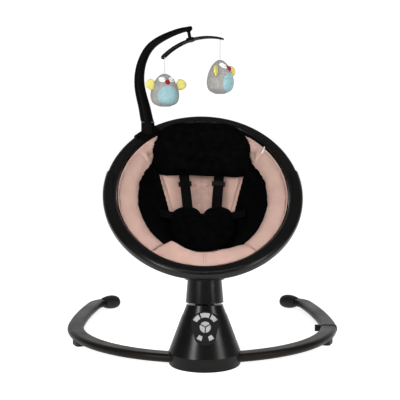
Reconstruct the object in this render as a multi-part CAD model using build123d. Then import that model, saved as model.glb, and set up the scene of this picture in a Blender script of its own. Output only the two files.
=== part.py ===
from build123d import *
import math
import os

# Driving dimensions, in millimetres and degrees.
# The origin is the middle of the base plate's underside, on the floor. -Y is the front, +Z is up.

# Clearances
RUN_FIT = 0.05  # radial, shafts in their bores
SNUG = 0.2  # pieces of one assembly that slip together
SOFT_GAP = 0.3  # between sewn pieces and what they lie against
BUTTON_GAP = 0.35  # round a push button

# Motor housing
SKIRT_RADIUS = 78.5
SKIRT_HEIGHT = 28.0
PLATE_THICK = 4.0
PLATE_INSET = 1.2  # the plate's edge stands back from the skirt
HOUSING_WALL = 3.0
CONE_ANGLE = 20.6  # of the cone's side from upright
COLLAR_HEIGHT = 108.0  # where the top collar starts
COLLAR_STEP = 0.9  # the collar stands back from the cone
HOUSING_HEIGHT = 130.0  # of the housing's top, on the middle line
DECK_THICK = 5.0
LIP_DEPTH = 6.0  # locating lips between the shells
LIP_WALL = 2.2

# Base tubes, feet and end caps
BASE_RADIUS = 313.0  # middle line of the horseshoe's front half
BASE_FRONT = -20.0  # y of the middle line at the front
TUBE_WIDTH = 40.0
TUBE_HEIGHT = 19.0
TUBE_WALL = 1.6
TUBE_Z = 17.5
SOCKET_START = 42.0  # x where a tube begins inside the housing
SOCKET_WALL = 2.4
SIDE_RADIUS = 1300.0
SIDE_TURN = 10.4
END_RADIUS = 50.0
END_TURN = 47.0
CAP_GRIP = 24.0  # straight tube end inside the rubber cap
CAP_LENGTH = 48.0
CAP_WIDTH = 49.0
CAP_FLAT = 0.7  # how much the cap's swell is cut flat on the floor
FOOT_ANGLE = 66.0  # along the front half, from the middle of the housing
FOOT_LENGTH = 38.0
FOOT_WIDTH = 36.0
FOOT_WRAP = 3.0  # how far the foot rises past the tube's underside
CLIP_ANGLE = 81.5
CLIP_LENGTH = 16.0
CLIP_WALL = 1.2
CLIP_TAB = 13.0
CLIP_TAB_HEIGHT = 16.0
CLIP_TAB_THICK = 3.0

# Swing axis, shaft and drive
SWING_TILT = 6.0  # the axis leans back from upright
SHAFT_RADIUS = 8.0
SHAFT_BOTTOM = -98.0  # heights along the swing axis, from the housing's top
BUSH_RADIUS = 12.0
BUSH_FLANGE = 15.0
BUSH_FLANGE_THICK = 2.0
BOSS_RADIUS = 21.0
BOSS_TOP = 10.0
BOSS_BOTTOM = -26.0
GEAR_MODULE = 1.25
GEAR_TEETH = 48  # of the full wheel that the sector is cut from
SECTOR_TEETH = 13
PINION_TEETH = 12
TOOTH_RISE = 0.75  # in modules, short teeth
TOOTH_DEPTH = 1.05
BACKLASH = 0.16
GEAR_BOTTOM = -72.0
GEAR_THICK = 10.0
GEAR_HUB = 14.0
CARRIER_TOP = -76.0
CARRIER_THICK = 4.0
CARRIER_HALF_WIDTH = 38.0
CARRIER_FRONT = -34.0
CARRIER_BACK = 56.0
CARRIER_HUB = 16.0
LOWER_BUSH_LENGTH = 16.0
POST_RADIUS = 5.0
POST_INSET = 6.0
MOTOR_RADIUS = 14.0
MOTOR_LENGTH = 34.0
MOTOR_SHAFT = 2.5
MOTOR_SHAFT_SUNK = 12.0
PIN_RADIUS = 2.5
PIN_HEIGHT = 30.0

# Neck and seat bracket
NECK_GAP = 4.5  # between the housing's top and the neck
NECK_TOP = 54.0
NECK_RADIUS_LOW = 41.0
NECK_RADIUS_HIGH = 37.0
NECK_WALL = 3.0
NECK_WEB = 10.0
NECK_HUB = 15.0
FLANGE_RADIUS = 42.5
FLANGE_THICK = 8.0
SADDLE_HALF_WIDTH = 34.0
SADDLE_BACK = 38.0
SADDLE_FRONT = 34.0
SADDLE_RISE = 30.0
BOLT_CIRCLE = 26.0
BOLT_RADIUS = 2.5

# Seat ring
RING_TILT = 35.0
RING_CENTRE_Y = 201.5
RING_CENTRE_Z = 363.5
RING_HALF_WIDTH = 218.0  # middle line of the rim
RING_HALF_LENGTH = 278.0
RIM_WIDTH = 30.0
RIM_THICK = 18.0
RIM_CORNER = 7.0
RIM_WALL = 3.0
RIM_JOINT = 11.7  # angle round the ring where the two halves meet
JOINER_HALF = 5.5  # degrees round the ring, each way from the joint
COVER_THICK = 2.5
COVER_REACH = 22.0  # how far the cover wraps in from the outside

# Sling and its padding, in the ring's own plane
SLING_WALL = 4.0
SLING_DEPTH = 128.0
# Share of the depth, then how far the sling lies in from the rim's middle line: front, back, sides
SLING_SECTIONS = (
    (0.3, 70.0, 54.0, 50.0),
    (0.6, 108.0, 100.0, 84.0),
    (0.83, 141.0, 174.0, 116.0),
)
SLING_FLOOR = (166.0, 256.0, 154.0)
PAD_THICK = 10.0
BAND_WIDTH = 46.0
BAND_THICK = 15.0
BAND_SLOPE = 32.0
BAND_SETBACK = 4.6  # of the band's outer edge from the sling
FRONT_BAND_THICK = 19.0
BAND_SEAM = 55.0  # angle of the lower seams, from straight across
SEAM_GAP = 0.15  # degrees, each side of a seam between bands
BAND_END = 46.0  # angle where the side bands end, behind the pillow
PANEL_TOP_HALF = 104.0
PANEL_LOW_HALF = 62.0
PANEL_FRONT_HALF = 34.0
PILLOW_WIDTH = 250.0
PILLOW_HEIGHT = 145.0
PILLOW_THICK = 34.0
PILLOW_ALONG = 183.5
PILLOW_DEPTH = 19.0
PILLOW_LEAN = 38.0

# Harness
STRAP_WIDTH = 25.0
STRAP_THICK = 2.2
STRAP_TOP = (46.0, 150.0, -58.0)
STRAP_LOW = (34.7, 26.0, -91.8)
WAIST_OUTER = (104.0, 4.0, -78.0)
WAIST_INNER = (50.0, 2.0, -90.0)
HARNESS_ALONG = -26.0  # the heart's middle, along the ring
HARNESS_HALF_WIDTH = 72.0
HARNESS_LOBE = 62.0
HARNESS_NOTCH = 30.0
HARNESS_TIP = -86.0
HARNESS_THICK = 22.0
BUCKLE_WIDTH = 44.0
BUCKLE_LENGTH = 60.0
BUCKLE_THICK = 10.0
BUCKLE_ALONG = -45.0
RELEASE_WIDTH = 18.0
RELEASE_THICK = 5.0
RELEASE_LENGTH = 9.0
RELEASE_PROUD = 3.0
RELEASE_TRAVEL = 2.5
ADJUSTER_WIDTH = 33.0
ADJUSTER_PLACE = 0.31  # share of the strap's length, from its top
ADJUSTER_LENGTH = 11.0
ADJUSTER_THICK = 5.6

# Control panel, in its own sloped plane
PANEL_CENTRE_Z = 92.0
PANEL_SUNK = 6.0
PANEL_PROUD = 2.5
PANEL_TOP = 33.0
PANEL_HALF_WIDTH = 28.5
PANEL_SHOULDER = 15.0
PANEL_LOW_WIDTH = 21.0
PANEL_LOW = -27.0
PANEL_BOTTOM = -39.0
BUTTON_HEIGHT = 4.6
BUTTON_PROUD = 0.9
BUTTON_TRAVEL = 1.0
ARC_INNER = 20.5
ARC_OUTER = 30.0
ARC_SPANS = {"button_arc_left": (119, 149), "button_arc_middle": (69, 111), "button_arc_right": (31, 61)}
LOWER_SPANS = {"button_lower_left": (232, 254), "button_lower_right": (286, 308)}
SECTOR_RADIUS = 11.6
SECTOR_SPLIT = 2.4
SECTOR_STARTS = {"button_sector_top": 30, "button_sector_left": 150, "button_sector_right": 270}
BOARD_THICK = 1.6
BOARD_WIDTH = 34.0
BOARD_HEIGHT = 32.0
BOARD_LOW = -9.0  # the board's middle, below the panel's middle
BOARD_STANDOFF = 3.0
STANDOFF_RADIUS = 2.0
STANDOFF_X = 12.0
STANDOFF_Y = 11.0

# Mobile
SOCKET_ROUND = 128.7  # place of the arm's socket, angle round the ring
SOCKET_SPAN = 7.0
CLAMP_WALL = 4.0
SOCKET_RISE = 33.0
SOCKET_RADIUS = 17.0
PLUG_RADIUS = 9.0
PLUG_LENGTH = 13.0
ARM_HEADING = -45.0  # which way the hook points, from +X
ARM_LEAN = 19.0
ARM_STRAIGHT = 79.0
ARM_BEND_RADIUS = 100.0
ARM_BEND = 89.0
ARM_TIP_RADIUS = 412.0
ARM_TIP_TURN = 17.0
ARM_RADIUS_LOW = 16.5
ARM_RADIUS_HIGH = 5.6
STEM_LEAN = 15.0
STEM_RADIUS = 4.0
STEM_PIN_RADIUS = 3.0
STEM_PIN_LENGTH = 9.0
STEM_LENGTH = 20.0
STEM_SETBACK = 9.0  # of the stem from the arm's end
TIP_BOSS_RADIUS = 6.5
HUB_RADIUS = 10.0
HUB_THICK = 6.0
BAR_HEADING = -27.0
BAR_HALF = 85.0
BAR_SAG = 22.0
BAR_WIDTH = 18.0
BAR_THICK = 4.0
BAR_SLOT_LENGTH = 50.0
BAR_SLOT_WIDTH = 9.0
STRING_RADIUS = 0.7
STRING_GAP = 0.75  # from the bar's underside to the middle of the string's top
STRING_INSET = 9.0  # from the bar's end
LEFT_STRING = 38.0
RIGHT_STRING = 46.0
TOY_HEIGHT = 83.0
TOY_WIDTH = 72.0
TOY_DEPTH = 62.0
WING_LENGTH = 34.0
WING_HEIGHT = 21.0
WING_THICK = 10.0
LEFT_TOY_TURN = 14.0
RIGHT_TOY_TURN = 62.0

# Fasteners and other inner pieces
SCREW_RADIUS = 2.0
SCREW_HEAD = 4.0
SCREW_HEAD_THICK = 2.0
SCREW_SUNK = 0.8
SCREW_LENGTH = 16.0
SPEAKER_RADIUS = 17.0
SPEAKER_HEIGHT = 10.0
SPEAKER_Y = -50.0
INLET_WIDTH = 12.0
INLET_DEPTH = 14.0
INLET_HEIGHT = 11.0
INLET_BARREL = 4.6
INLET_BORE = 2.8
INLET_BORE_DEPTH = 9.0
INLET_Z = 16.0

# Planes that the pieces are built on
LOW = (Align.CENTER, Align.CENTER, Align.MIN)
tilt = math.radians(SWING_TILT)
AXIS = Plane(origin=(0, 0, HOUSING_HEIGHT), x_dir=(1, 0, 0), z_dir=(0, math.sin(tilt), math.cos(tilt)))
lay = math.radians(RING_TILT)
RING = Plane(
    origin=(0, RING_CENTRE_Y, RING_CENTRE_Z), x_dir=(1, 0, 0), z_dir=(0, -math.sin(lay), math.cos(lay))
)
slope = math.radians(CONE_ANGLE)


def cone_radius(z):
    """Outer radius of the housing's cone at a height."""
    return SKIRT_RADIUS - (z - SKIRT_HEIGHT) * math.tan(slope)


PANEL = Plane(
    origin=(0, -cone_radius(PANEL_CENTRE_Z), PANEL_CENTRE_Z),
    x_dir=(1, 0, 0),
    z_dir=(0, -math.cos(slope), math.sin(slope)),
)
PIVOT_SPACING = GEAR_MODULE * (GEAR_TEETH + PINION_TEETH) / 2


def disc(plane, radius, low, high, x=0, y=0):
    """Round bar along a plane's normal, from low to high."""
    return plane * Pos(x, y, low) * Cylinder(radius, high - low, align=LOW)


def ring_bar(plane, outer, inner, low, high, x=0, y=0):
    """Round bar with a bore."""
    return disc(plane, outer, low, high, x, y) - disc(plane, inner, low, high, x, y)


def cone_solid(low, high, inset):
    """The housing's cone between two heights, taken in by an inset."""
    base = cone_radius(low) - inset
    top = cone_radius(high) - inset
    return Pos(0, 0, low) * Cone(base, top, high - low, align=LOW)


def tube_path(side=1):
    """Middle line of a base tube: front half circle, long side, end bend and straight end."""
    begin = math.asin(SOCKET_START / BASE_RADIUS)
    start = (SOCKET_START, BASE_FRONT + BASE_RADIUS * (1 - math.cos(begin)), TUBE_Z)
    front = JernArc(start, (math.cos(begin), math.sin(begin)), BASE_RADIUS, 90 - math.degrees(begin))
    run = JernArc(front @ 1, front % 1, SIDE_RADIUS, SIDE_TURN)
    end = JernArc(run @ 1, run % 1, END_RADIUS, END_TURN)
    straight = Line(end @ 1, (end @ 1) + (end % 1) * CAP_GRIP)
    return Wire([front, run, end, straight])


def across(path, at):
    """Plane square to a level path, with x level and y upright."""
    along = path % at
    return Plane(origin=path @ at, x_dir=(along.Y, -along.X, 0), z_dir=along)


def oval(grow=0.0):
    """Flat-oval section of a base tube, grown all round."""
    return SlotOverall(TUBE_WIDTH + 2 * grow, TUBE_HEIGHT + 2 * grow)


def tube_solid(grow=0.0):
    """A solid base tube on the right side, grown all round."""
    path = tube_path()
    return sweep(across(path, 0) * oval(grow), path=path)


def mirrored(shape):
    """The same piece on the other side."""
    return mirror(shape, about=Plane.YZ)


def base_tube():
    path = tube_path()
    return sweep(across(path, 0) * (oval() - oval(-TUBE_WALL)), path=path)


def end_cap():
    """Rubber boot over a tube's end, swelling past the grip and cut flat on the floor."""
    path = tube_path()
    last = path.edges()[-1]
    frame = across(path, 1).offset(-CAP_GRIP)
    height = 2 * (TUBE_Z + CAP_FLAT)
    mouth = (TUBE_WIDTH + 4, TUBE_HEIGHT + 7)
    sizes = (
        (0.0, mouth[0], mouth[1]),
        (0.22, CAP_WIDTH * 0.96, height * 0.93),
        (0.55, CAP_WIDTH, height),
        (0.82, CAP_WIDTH * 0.84, height * 0.84),
        (0.95, CAP_WIDTH * 0.55, height * 0.55),
        (1.0, CAP_WIDTH * 0.2, height * 0.2),
    )
    sections = []
    for share, width, tall in sizes:
        sections.append(frame.offset(share * CAP_LENGTH) * Ellipse(width / 2, tall / 2))
    boot = loft(sections)
    pocket = extrude(frame * oval(SNUG), CAP_GRIP + SNUG)
    floor = Pos(last.center().X, last.center().Y, 0) * Box(300, 300, 80, align=(Align.CENTER, Align.CENTER, Align.MAX))
    return boot - pocket - floor


def at_front_circle(angle):
    """Plane on the front half of the horseshoe: x outwards, y along the tube, z up, on the floor."""
    turn = math.radians(angle)
    out = (math.sin(turn), -math.cos(turn), 0)
    middle = BASE_FRONT + BASE_RADIUS
    origin = (BASE_RADIUS * out[0], middle + BASE_RADIUS * out[1], 0)
    return Plane(origin=origin, x_dir=out, z_dir=(0, 0, 1))


def rubber_foot():
    top = TUBE_Z - TUBE_HEIGHT / 2 + FOOT_WRAP
    block = extrude(at_front_circle(FOOT_ANGLE) * RectangleRounded(FOOT_WIDTH, FOOT_LENGTH, 8), top)
    return block - tube_solid(SNUG)


def tube_clip():
    """Snap band on the right tube with a tab that points inwards."""
    floor = at_front_circle(CLIP_ANGLE)
    frame = Plane(
        origin=floor.origin + Vector(0, 0, TUBE_Z), x_dir=floor.x_dir, z_dir=-floor.y_dir
    )
    band = extrude(frame * oval(SNUG + CLIP_WALL), CLIP_LENGTH / 2, both=True)
    inner = TUBE_WIDTH / 2 + SNUG
    tab = Pos(-inner - CLIP_TAB / 2, 0, 0) * Box(CLIP_TAB, CLIP_TAB_HEIGHT, CLIP_TAB_THICK)
    return band + frame * tab - tube_solid(SNUG)


def base_plate():
    plate = Cylinder(SKIRT_RADIUS - PLATE_INSET, PLATE_THICK, align=LOW)
    plate = chamfer(plate.edges().group_by(Axis.Z)[0], 1)
    for x, y in post_places():
        plate -= Pos(x, y, 0) * Cylinder(SCREW_HEAD + SNUG, SCREW_SUNK + SCREW_HEAD_THICK, align=LOW)
        plate -= Pos(x, y, 0) * Cylinder(SCREW_RADIUS + SNUG, PLATE_THICK, align=LOW)
    return plate


def housing_skirt():
    """Band at the foot of the housing, with an oval socket for each tube."""
    ring = ring_bar(Plane.XY, SKIRT_RADIUS, SKIRT_RADIUS - HOUSING_WALL, PLATE_THICK, SKIRT_HEIGHT)
    path = tube_path()
    envelope = tube_solid(SNUG)
    sleeve = sweep(across(path, 0) * oval(SOCKET_WALL + SNUG), path=path)
    keep = disc(Plane.XY, SKIRT_RADIUS - HOUSING_WALL / 2, PLATE_THICK, SKIRT_HEIGHT)
    sleeve = sleeve & keep
    ring = ring + sleeve + mirrored(sleeve)
    ring = ring - envelope - mirrored(envelope)
    ring -= Pos(0, SKIRT_RADIUS, INLET_Z) * Rot(90, 0, 0) * Cylinder(INLET_BARREL + SNUG, 4 * HOUSING_WALL)
    return ring


def panel_outline(grow=0.0):
    """Shield outline of the control panel in its own plane."""
    half = PANEL_HALF_WIDTH + grow
    low = PANEL_LOW_WIDTH + grow
    crest = PANEL_SHOULDER + 10 + grow
    crown = ThreePointArc((-half * 0.82, crest), (0, PANEL_TOP + grow), (half * 0.82, crest))
    right = ThreePointArc(crown @ 1, (half * 0.99, PANEL_SHOULDER + 3), (half, PANEL_SHOULDER - 10))
    side = Line(right @ 1, (low, PANEL_LOW))
    foot = ThreePointArc(side @ 1, (0, PANEL_BOTTOM - grow), (-low, PANEL_LOW))
    other = Line(foot @ 1, (-half, PANEL_SHOULDER - 10))
    left = ThreePointArc(other @ 1, (-half * 0.99, PANEL_SHOULDER + 3), crown @ 0)
    return make_face([crown, right, side, foot, other, left])


def panel_pocket():
    """Room for the control panel in the front of the housing."""
    return extrude(PANEL.offset(-PANEL_SUNK) * panel_outline(SNUG), 40)


def motor_housing():
    shell = cone_solid(SKIRT_HEIGHT, COLLAR_HEIGHT, 0) - cone_solid(SKIRT_HEIGHT, COLLAR_HEIGHT, HOUSING_WALL)
    outer = SKIRT_RADIUS - HOUSING_WALL - SNUG
    lip = ring_bar(Plane.XY, outer, outer - LIP_WALL, SKIRT_HEIGHT - LIP_DEPTH, SKIRT_HEIGHT)
    web = ring_bar(Plane.XY, SKIRT_RADIUS - 1, outer - LIP_WALL, SKIRT_HEIGHT, SKIRT_HEIGHT + 2)
    shell = shell + lip + (web & cone_solid(SKIRT_HEIGHT, COLLAR_HEIGHT, 0.2))
    envelope = tube_solid(SNUG + SOCKET_WALL + 2 * SNUG)
    shell = shell - envelope - mirrored(envelope)
    return shell - panel_pocket()


def housing_collar():
    """Cap of the housing: sloped top deck square to the swing axis, and the boss for the upper bush."""
    reach = HOUSING_HEIGHT + 20
    outer = split(cone_solid(COLLAR_HEIGHT, reach, COLLAR_STEP), bisect_by=AXIS, keep=Keep.BOTTOM)
    hollow = split(
        cone_solid(COLLAR_HEIGHT, reach, COLLAR_STEP + HOUSING_WALL),
        bisect_by=AXIS.offset(-DECK_THICK),
        keep=Keep.BOTTOM,
    )
    lip_out = cone_radius(COLLAR_HEIGHT) - HOUSING_WALL - SNUG
    lip_low = COLLAR_HEIGHT - LIP_DEPTH
    lip = Pos(0, 0, lip_low) * (
        Cylinder(lip_out, LIP_DEPTH + 2, align=LOW) - Cylinder(lip_out - LIP_WALL, LIP_DEPTH + 2, align=LOW)
    )
    collar = outer - hollow + (lip - panel_pocket())
    collar += disc(AXIS, BOSS_RADIUS, BOSS_BOTTOM, BOSS_TOP)
    collar -= disc(AXIS, BUSH_RADIUS, BOSS_BOTTOM, BOSS_TOP)
    return collar - panel_pocket()


def annular(inner, outer, start, stop):
    """Part of a flat ring between two angles."""
    first = CenterArc((0, 0), outer, start, stop - start)
    last = CenterArc((0, 0), inner, stop, start - stop)
    return make_face([first, Line(first @ 1, last @ 0), last, Line(last @ 1, first @ 0)])


def sector_outline(start):
    """One third of the middle disc, drawn in from its neighbours by half the split."""
    middle = math.radians(start + 60)
    shift = SECTOR_SPLIT / 2 / math.sin(math.radians(60))
    corner = Vector(shift * math.cos(middle), shift * math.sin(middle))
    spread = math.degrees(math.asin(SECTOR_SPLIT / 2 / SECTOR_RADIUS))
    arc = CenterArc((0, 0), SECTOR_RADIUS, start + spread, 120 - 2 * spread)
    return make_face([arc, Line(arc @ 1, corner), Line(corner, arc @ 0)])


def button_outlines():
    """Outline of each push button, by name."""
    outlines = {}
    for name, (start, stop) in {**ARC_SPANS, **LOWER_SPANS}.items():
        outlines[name] = annular(ARC_INNER, ARC_OUTER, start, stop)
    for name, start in SECTOR_STARTS.items():
        outlines[name] = sector_outline(start)
    return outlines


def panel_button(outline):
    """A push button, standing proud of the panel's face."""
    low = PANEL_PROUD + BUTTON_PROUD - BUTTON_HEIGHT
    return extrude(PANEL.offset(low) * outline, BUTTON_HEIGHT)


def control_panel():
    """Shield-shaped face plate with a pocket for each button, and standoffs for the board."""
    plate = extrude(PANEL.offset(-PANEL_SUNK) * panel_outline(), PANEL_SUNK + PANEL_PROUD)
    floor = PANEL_PROUD + BUTTON_PROUD - BUTTON_HEIGHT - BUTTON_TRAVEL - SNUG
    for outline in button_outlines().values():
        room = offset(outline, BUTTON_GAP, kind=Kind.INTERSECTION)
        plate -= extrude(PANEL.offset(floor) * room, PANEL_PROUD - floor)
    for x in (-1, 1):
        for y in (-1, 1):
            place = (STANDOFF_X * x, BOARD_LOW + STANDOFF_Y * y)
            plate += disc(PANEL, STANDOFF_RADIUS, -PANEL_SUNK - BOARD_STANDOFF, -PANEL_SUNK, *place)
    return plate


def circuit_board():
    back = -PANEL_SUNK - BOARD_STANDOFF
    top = (Align.CENTER, Align.CENTER, Align.MAX)
    return PANEL * Pos(0, BOARD_LOW, back) * Box(BOARD_WIDTH, BOARD_HEIGHT, BOARD_THICK, align=top)


def post_places():
    """Where the carrier's posts stand on the base plate."""
    drop = (CARRIER_TOP - CARRIER_THICK) * math.sin(tilt)
    places = []
    for x in (-1, 1):
        for y in (CARRIER_FRONT + POST_INSET, CARRIER_BACK - POST_INSET):
            places.append((x * (CARRIER_HALF_WIDTH - POST_INSET), y * math.cos(tilt) + drop))
    return places


def bearing_carrier():
    """Plate across the housing that holds the lower bush and the motor, on four posts."""
    width = 2 * CARRIER_HALF_WIDTH
    depth = CARRIER_BACK - CARRIER_FRONT
    low = CARRIER_TOP - CARRIER_THICK
    plate = Pos(0, CARRIER_FRONT + depth / 2, low) * extrude(RectangleRounded(width, depth, 6), CARRIER_THICK)
    carrier = AXIS * plate
    for x, y in post_places():
        post = Pos(x, y, PLATE_THICK) * Cylinder(POST_RADIUS, HOUSING_HEIGHT, align=LOW)
        carrier += split(post, bisect_by=AXIS.offset(low + CARRIER_THICK / 2), keep=Keep.BOTTOM)
    carrier += disc(AXIS, CARRIER_HUB, CARRIER_TOP - LOWER_BUSH_LENGTH, CARRIER_TOP)
    carrier -= disc(AXIS, BUSH_RADIUS, CARRIER_TOP - LOWER_BUSH_LENGTH, CARRIER_TOP)
    carrier -= disc(AXIS, MOTOR_SHAFT + 1, low, CARRIER_TOP, 0, PIVOT_SPACING)
    for x, y in post_places():
        carrier -= Pos(x, y, PLATE_THICK) * Cylinder(SCREW_RADIUS + SNUG, SCREW_LENGTH, align=LOW)
    return carrier


def base_screws():
    screws = []
    for x, y in post_places():
        head = Pos(x, y, SCREW_SUNK) * Cylinder(SCREW_HEAD, SCREW_HEAD_THICK, align=LOW)
        shank = Pos(x, y, SCREW_SUNK) * Cylinder(SCREW_RADIUS, SCREW_LENGTH, align=LOW)
        screws.append(head + shank)
    return screws


def shaft_bushes():
    upper = disc(AXIS, BUSH_RADIUS, BOSS_BOTTOM, BOSS_TOP)
    upper += disc(AXIS, BUSH_FLANGE, BOSS_TOP, BOSS_TOP + BUSH_FLANGE_THICK)
    lower = disc(AXIS, BUSH_RADIUS, CARRIER_TOP - LOWER_BUSH_LENGTH, CARRIER_TOP)
    lower += disc(AXIS, BUSH_FLANGE, CARRIER_TOP, CARRIER_TOP + BUSH_FLANGE_THICK)
    bore = disc(AXIS, SHAFT_RADIUS + RUN_FIT, SHAFT_BOTTOM, NECK_TOP)
    return [upper - bore, lower - bore]


def tooth_wheel(teeth, first, count):
    """Flat face of a wheel with involute teeth: count teeth from the one at angle first."""
    pitch = GEAR_MODULE * teeth / 2
    base = pitch * math.cos(math.radians(20))
    root = pitch - TOOTH_DEPTH * GEAR_MODULE
    tip = pitch + TOOTH_RISE * GEAR_MODULE
    half = math.pi / (2 * teeth) - BACKLASH / (2 * pitch)
    rolled = math.tan(math.radians(20)) - math.radians(20)
    step = 2 * math.pi / teeth

    def flank(radius):
        """Half angle of a tooth at a radius."""
        if radius <= base:
            return half + rolled
        press = math.acos(base / radius)
        return half + rolled - (math.tan(press) - press)

    def point(radius, angle):
        return (radius * math.cos(angle), radius * math.sin(angle))

    start = max(base, root)
    radii = [start + (tip - start) * i / 4 for i in range(5)]
    edges = []
    for i in range(count):
        middle = math.radians(first) + i * step
        rise = [point(r, middle - flank(r)) for r in radii]
        fall = [point(r, middle + flank(r)) for r in reversed(radii)]
        low = point(root, middle - flank(start))
        high = point(root, middle + flank(start))
        if root < base:
            edges.append(Line(low, rise[0]))
        edges.append(Spline(rise))
        edges.append(ThreePointArc(rise[-1], point(tip, middle), fall[0]))
        edges.append(Spline(fall))
        if root < base:
            edges.append(Line(fall[-1], high))
        valley = point(root, middle + step / 2)
        following = point(root, middle + step - flank(start))
        if i < count - 1 or count == teeth:
            edges.append(ThreePointArc(high, valley, following))
    if count < teeth:
        edges.append(Line(edges[-1] @ 1, (0, 0)))
        edges.append(Line((0, 0), edges[0] @ 0))
    return make_face(edges)


def drive_gear():
    """Sector gear on the shaft; its middle tooth points to the motor."""
    step = 360 / GEAR_TEETH
    first = 90 - step * (SECTOR_TEETH - 1) / 2
    gear = extrude(AXIS.offset(GEAR_BOTTOM) * tooth_wheel(GEAR_TEETH, first, SECTOR_TEETH), GEAR_THICK)
    gear += disc(AXIS, GEAR_HUB, CARRIER_TOP + BUSH_FLANGE_THICK + SOFT_GAP, GEAR_BOTTOM + GEAR_THICK)
    return gear - disc(AXIS, SHAFT_RADIUS, SHAFT_BOTTOM, NECK_TOP)


def motor_pinion():
    """Pinion on the motor's shaft; a gap between its teeth faces the sector gear."""
    step = 360 / PINION_TEETH
    frame = AXIS * Pos(0, PIVOT_SPACING, GEAR_BOTTOM)
    pinion = extrude(frame * tooth_wheel(PINION_TEETH, 270 + step / 2, PINION_TEETH), GEAR_THICK)
    low = CARRIER_TOP - CARRIER_THICK - MOTOR_SHAFT_SUNK
    return pinion + disc(AXIS, MOTOR_SHAFT, low, GEAR_BOTTOM, 0, PIVOT_SPACING)


def drive_motor():
    top = CARRIER_TOP - CARRIER_THICK
    can = disc(AXIS, MOTOR_RADIUS, top - MOTOR_LENGTH, top, 0, PIVOT_SPACING)
    return can - disc(AXIS, MOTOR_SHAFT + RUN_FIT, top - MOTOR_SHAFT_SUNK - 1, top, 0, PIVOT_SPACING)


def speaker():
    cone = Pos(0, SPEAKER_Y, PLATE_THICK) * Cone(SPEAKER_RADIUS, SPEAKER_RADIUS * 0.55, SPEAKER_HEIGHT * 0.6, align=LOW)
    magnet = Pos(0, SPEAKER_Y, PLATE_THICK) * Cylinder(SPEAKER_RADIUS * 0.5, SPEAKER_HEIGHT, align=LOW)
    return cone + magnet


def power_inlet():
    """Low-voltage socket in the back of the skirt."""
    wall = SKIRT_RADIUS - HOUSING_WALL
    body = Pos(0, wall - 1 - INLET_DEPTH / 2, INLET_Z) * Box(INLET_WIDTH, INLET_DEPTH, INLET_HEIGHT)
    barrel = Pos(0, SKIRT_RADIUS, INLET_Z) * Rot(90, 0, 0) * Cylinder(INLET_BARREL, HOUSING_WALL + 2, align=LOW)
    bore = Pos(0, SKIRT_RADIUS, INLET_Z) * Rot(90, 0, 0) * Cylinder(INLET_BORE, INLET_BORE_DEPTH, align=LOW)
    shelf = Pos(0, wall - 1 - INLET_DEPTH / 2, PLATE_THICK) * Box(
        INLET_WIDTH * 0.6, INLET_DEPTH * 0.6, INLET_Z - PLATE_THICK, align=LOW
    )
    return body + barrel + shelf - bore


def swing_shaft():
    return disc(AXIS, SHAFT_RADIUS, SHAFT_BOTTOM, NECK_TOP) - cross_pin(SNUG / 10)


def cross_pin(grow=0.0):
    """Pin through the neck's hub and the shaft."""
    return AXIS * Pos(0, 0, PIN_HEIGHT) * Rot(0, 90, 0) * Cylinder(PIN_RADIUS + grow, 2 * NECK_HUB)


def neck_sleeve():
    """Tapered sleeve over the boss, with a web at its top and a hub on the shaft."""
    hub_low = BOSS_TOP + BUSH_FLANGE_THICK + SOFT_GAP
    web = NECK_TOP - NECK_WEB
    taper = (NECK_RADIUS_HIGH - NECK_RADIUS_LOW) / (NECK_TOP - NECK_GAP)
    inner_web = NECK_RADIUS_LOW + taper * (web - NECK_GAP) - NECK_WALL
    outline = Polyline(
        (SHAFT_RADIUS, hub_low),
        (NECK_HUB, hub_low),
        (NECK_HUB, web),
        (inner_web, web),
        (NECK_RADIUS_LOW - NECK_WALL, NECK_GAP),
        (NECK_RADIUS_LOW, NECK_GAP),
        (NECK_RADIUS_HIGH, NECK_TOP),
        (SHAFT_RADIUS, NECK_TOP),
        close=True,
    )
    sleeve = AXIS * revolve(Plane.XZ * make_face(outline), Axis.Z)
    for x, y in bolt_places():
        sleeve -= disc(AXIS, BOLT_RADIUS + SNUG, web, NECK_TOP, x, y)
    return sleeve - cross_pin(SNUG / 10)


def bolt_places():
    """Four bolts between the neck's web and the bracket's flange."""
    places = []
    for i in range(4):
        angle = math.radians(45 + 90 * i)
        places.append((BOLT_CIRCLE * math.cos(angle), BOLT_CIRCLE * math.sin(angle)))
    return places


def bracket_bolts():
    web = NECK_TOP - NECK_WEB
    top = NECK_TOP + FLANGE_THICK / 2
    bolts = []
    for x, y in bolt_places():
        head = disc(AXIS, BOLT_RADIUS * 1.8, web - BOLT_RADIUS * 1.2, web, x, y)
        bolts.append(head + disc(AXIS, BOLT_RADIUS, web - 1, top, x, y))
    return bolts


def rim_line(start, stop, half_width=RING_HALF_WIDTH, half_length=RING_HALF_LENGTH, lift=0.0):
    """Stretch of an ellipse round the seat, in a plane level with the ring."""
    arc = EllipticalCenterArc((0, 0), half_width, half_length, start, arc_size=stop - start)
    return RING.offset(lift) * arc


def rim_frame(path):
    """Plane at the start of a ring path: x points out of the ring, y along the ring's underside."""
    along = path % 0
    return Plane(origin=path @ 0, x_dir=along.cross(RING.z_dir), z_dir=along)


def rim_section(grow=0.0):
    return RectangleRounded(RIM_WIDTH + 2 * grow, RIM_THICK + 2 * grow, RIM_CORNER + grow)


def rim_half(start, stop):
    """One hollow half of the seat's rim."""
    path = rim_line(start, stop)
    return sweep(rim_frame(path) * (rim_section() - rim_section(-RIM_WALL)), path=path)


def lower_span():
    return 180 - RIM_JOINT, 360 + RIM_JOINT


def rim_cover():
    """Outer shell over the lower half of the rim."""
    path = rim_line(*lower_span())
    outer = RIM_WIDTH / 2 + COVER_THICK
    section = rim_section(COVER_THICK) - rim_section(SNUG)
    section -= Pos(outer - COVER_REACH, 0) * Rectangle(
        RIM_WIDTH * 2, RIM_THICK * 3, align=(Align.MAX, Align.CENTER)
    )
    return sweep(rim_frame(path) * section, path=path)


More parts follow.
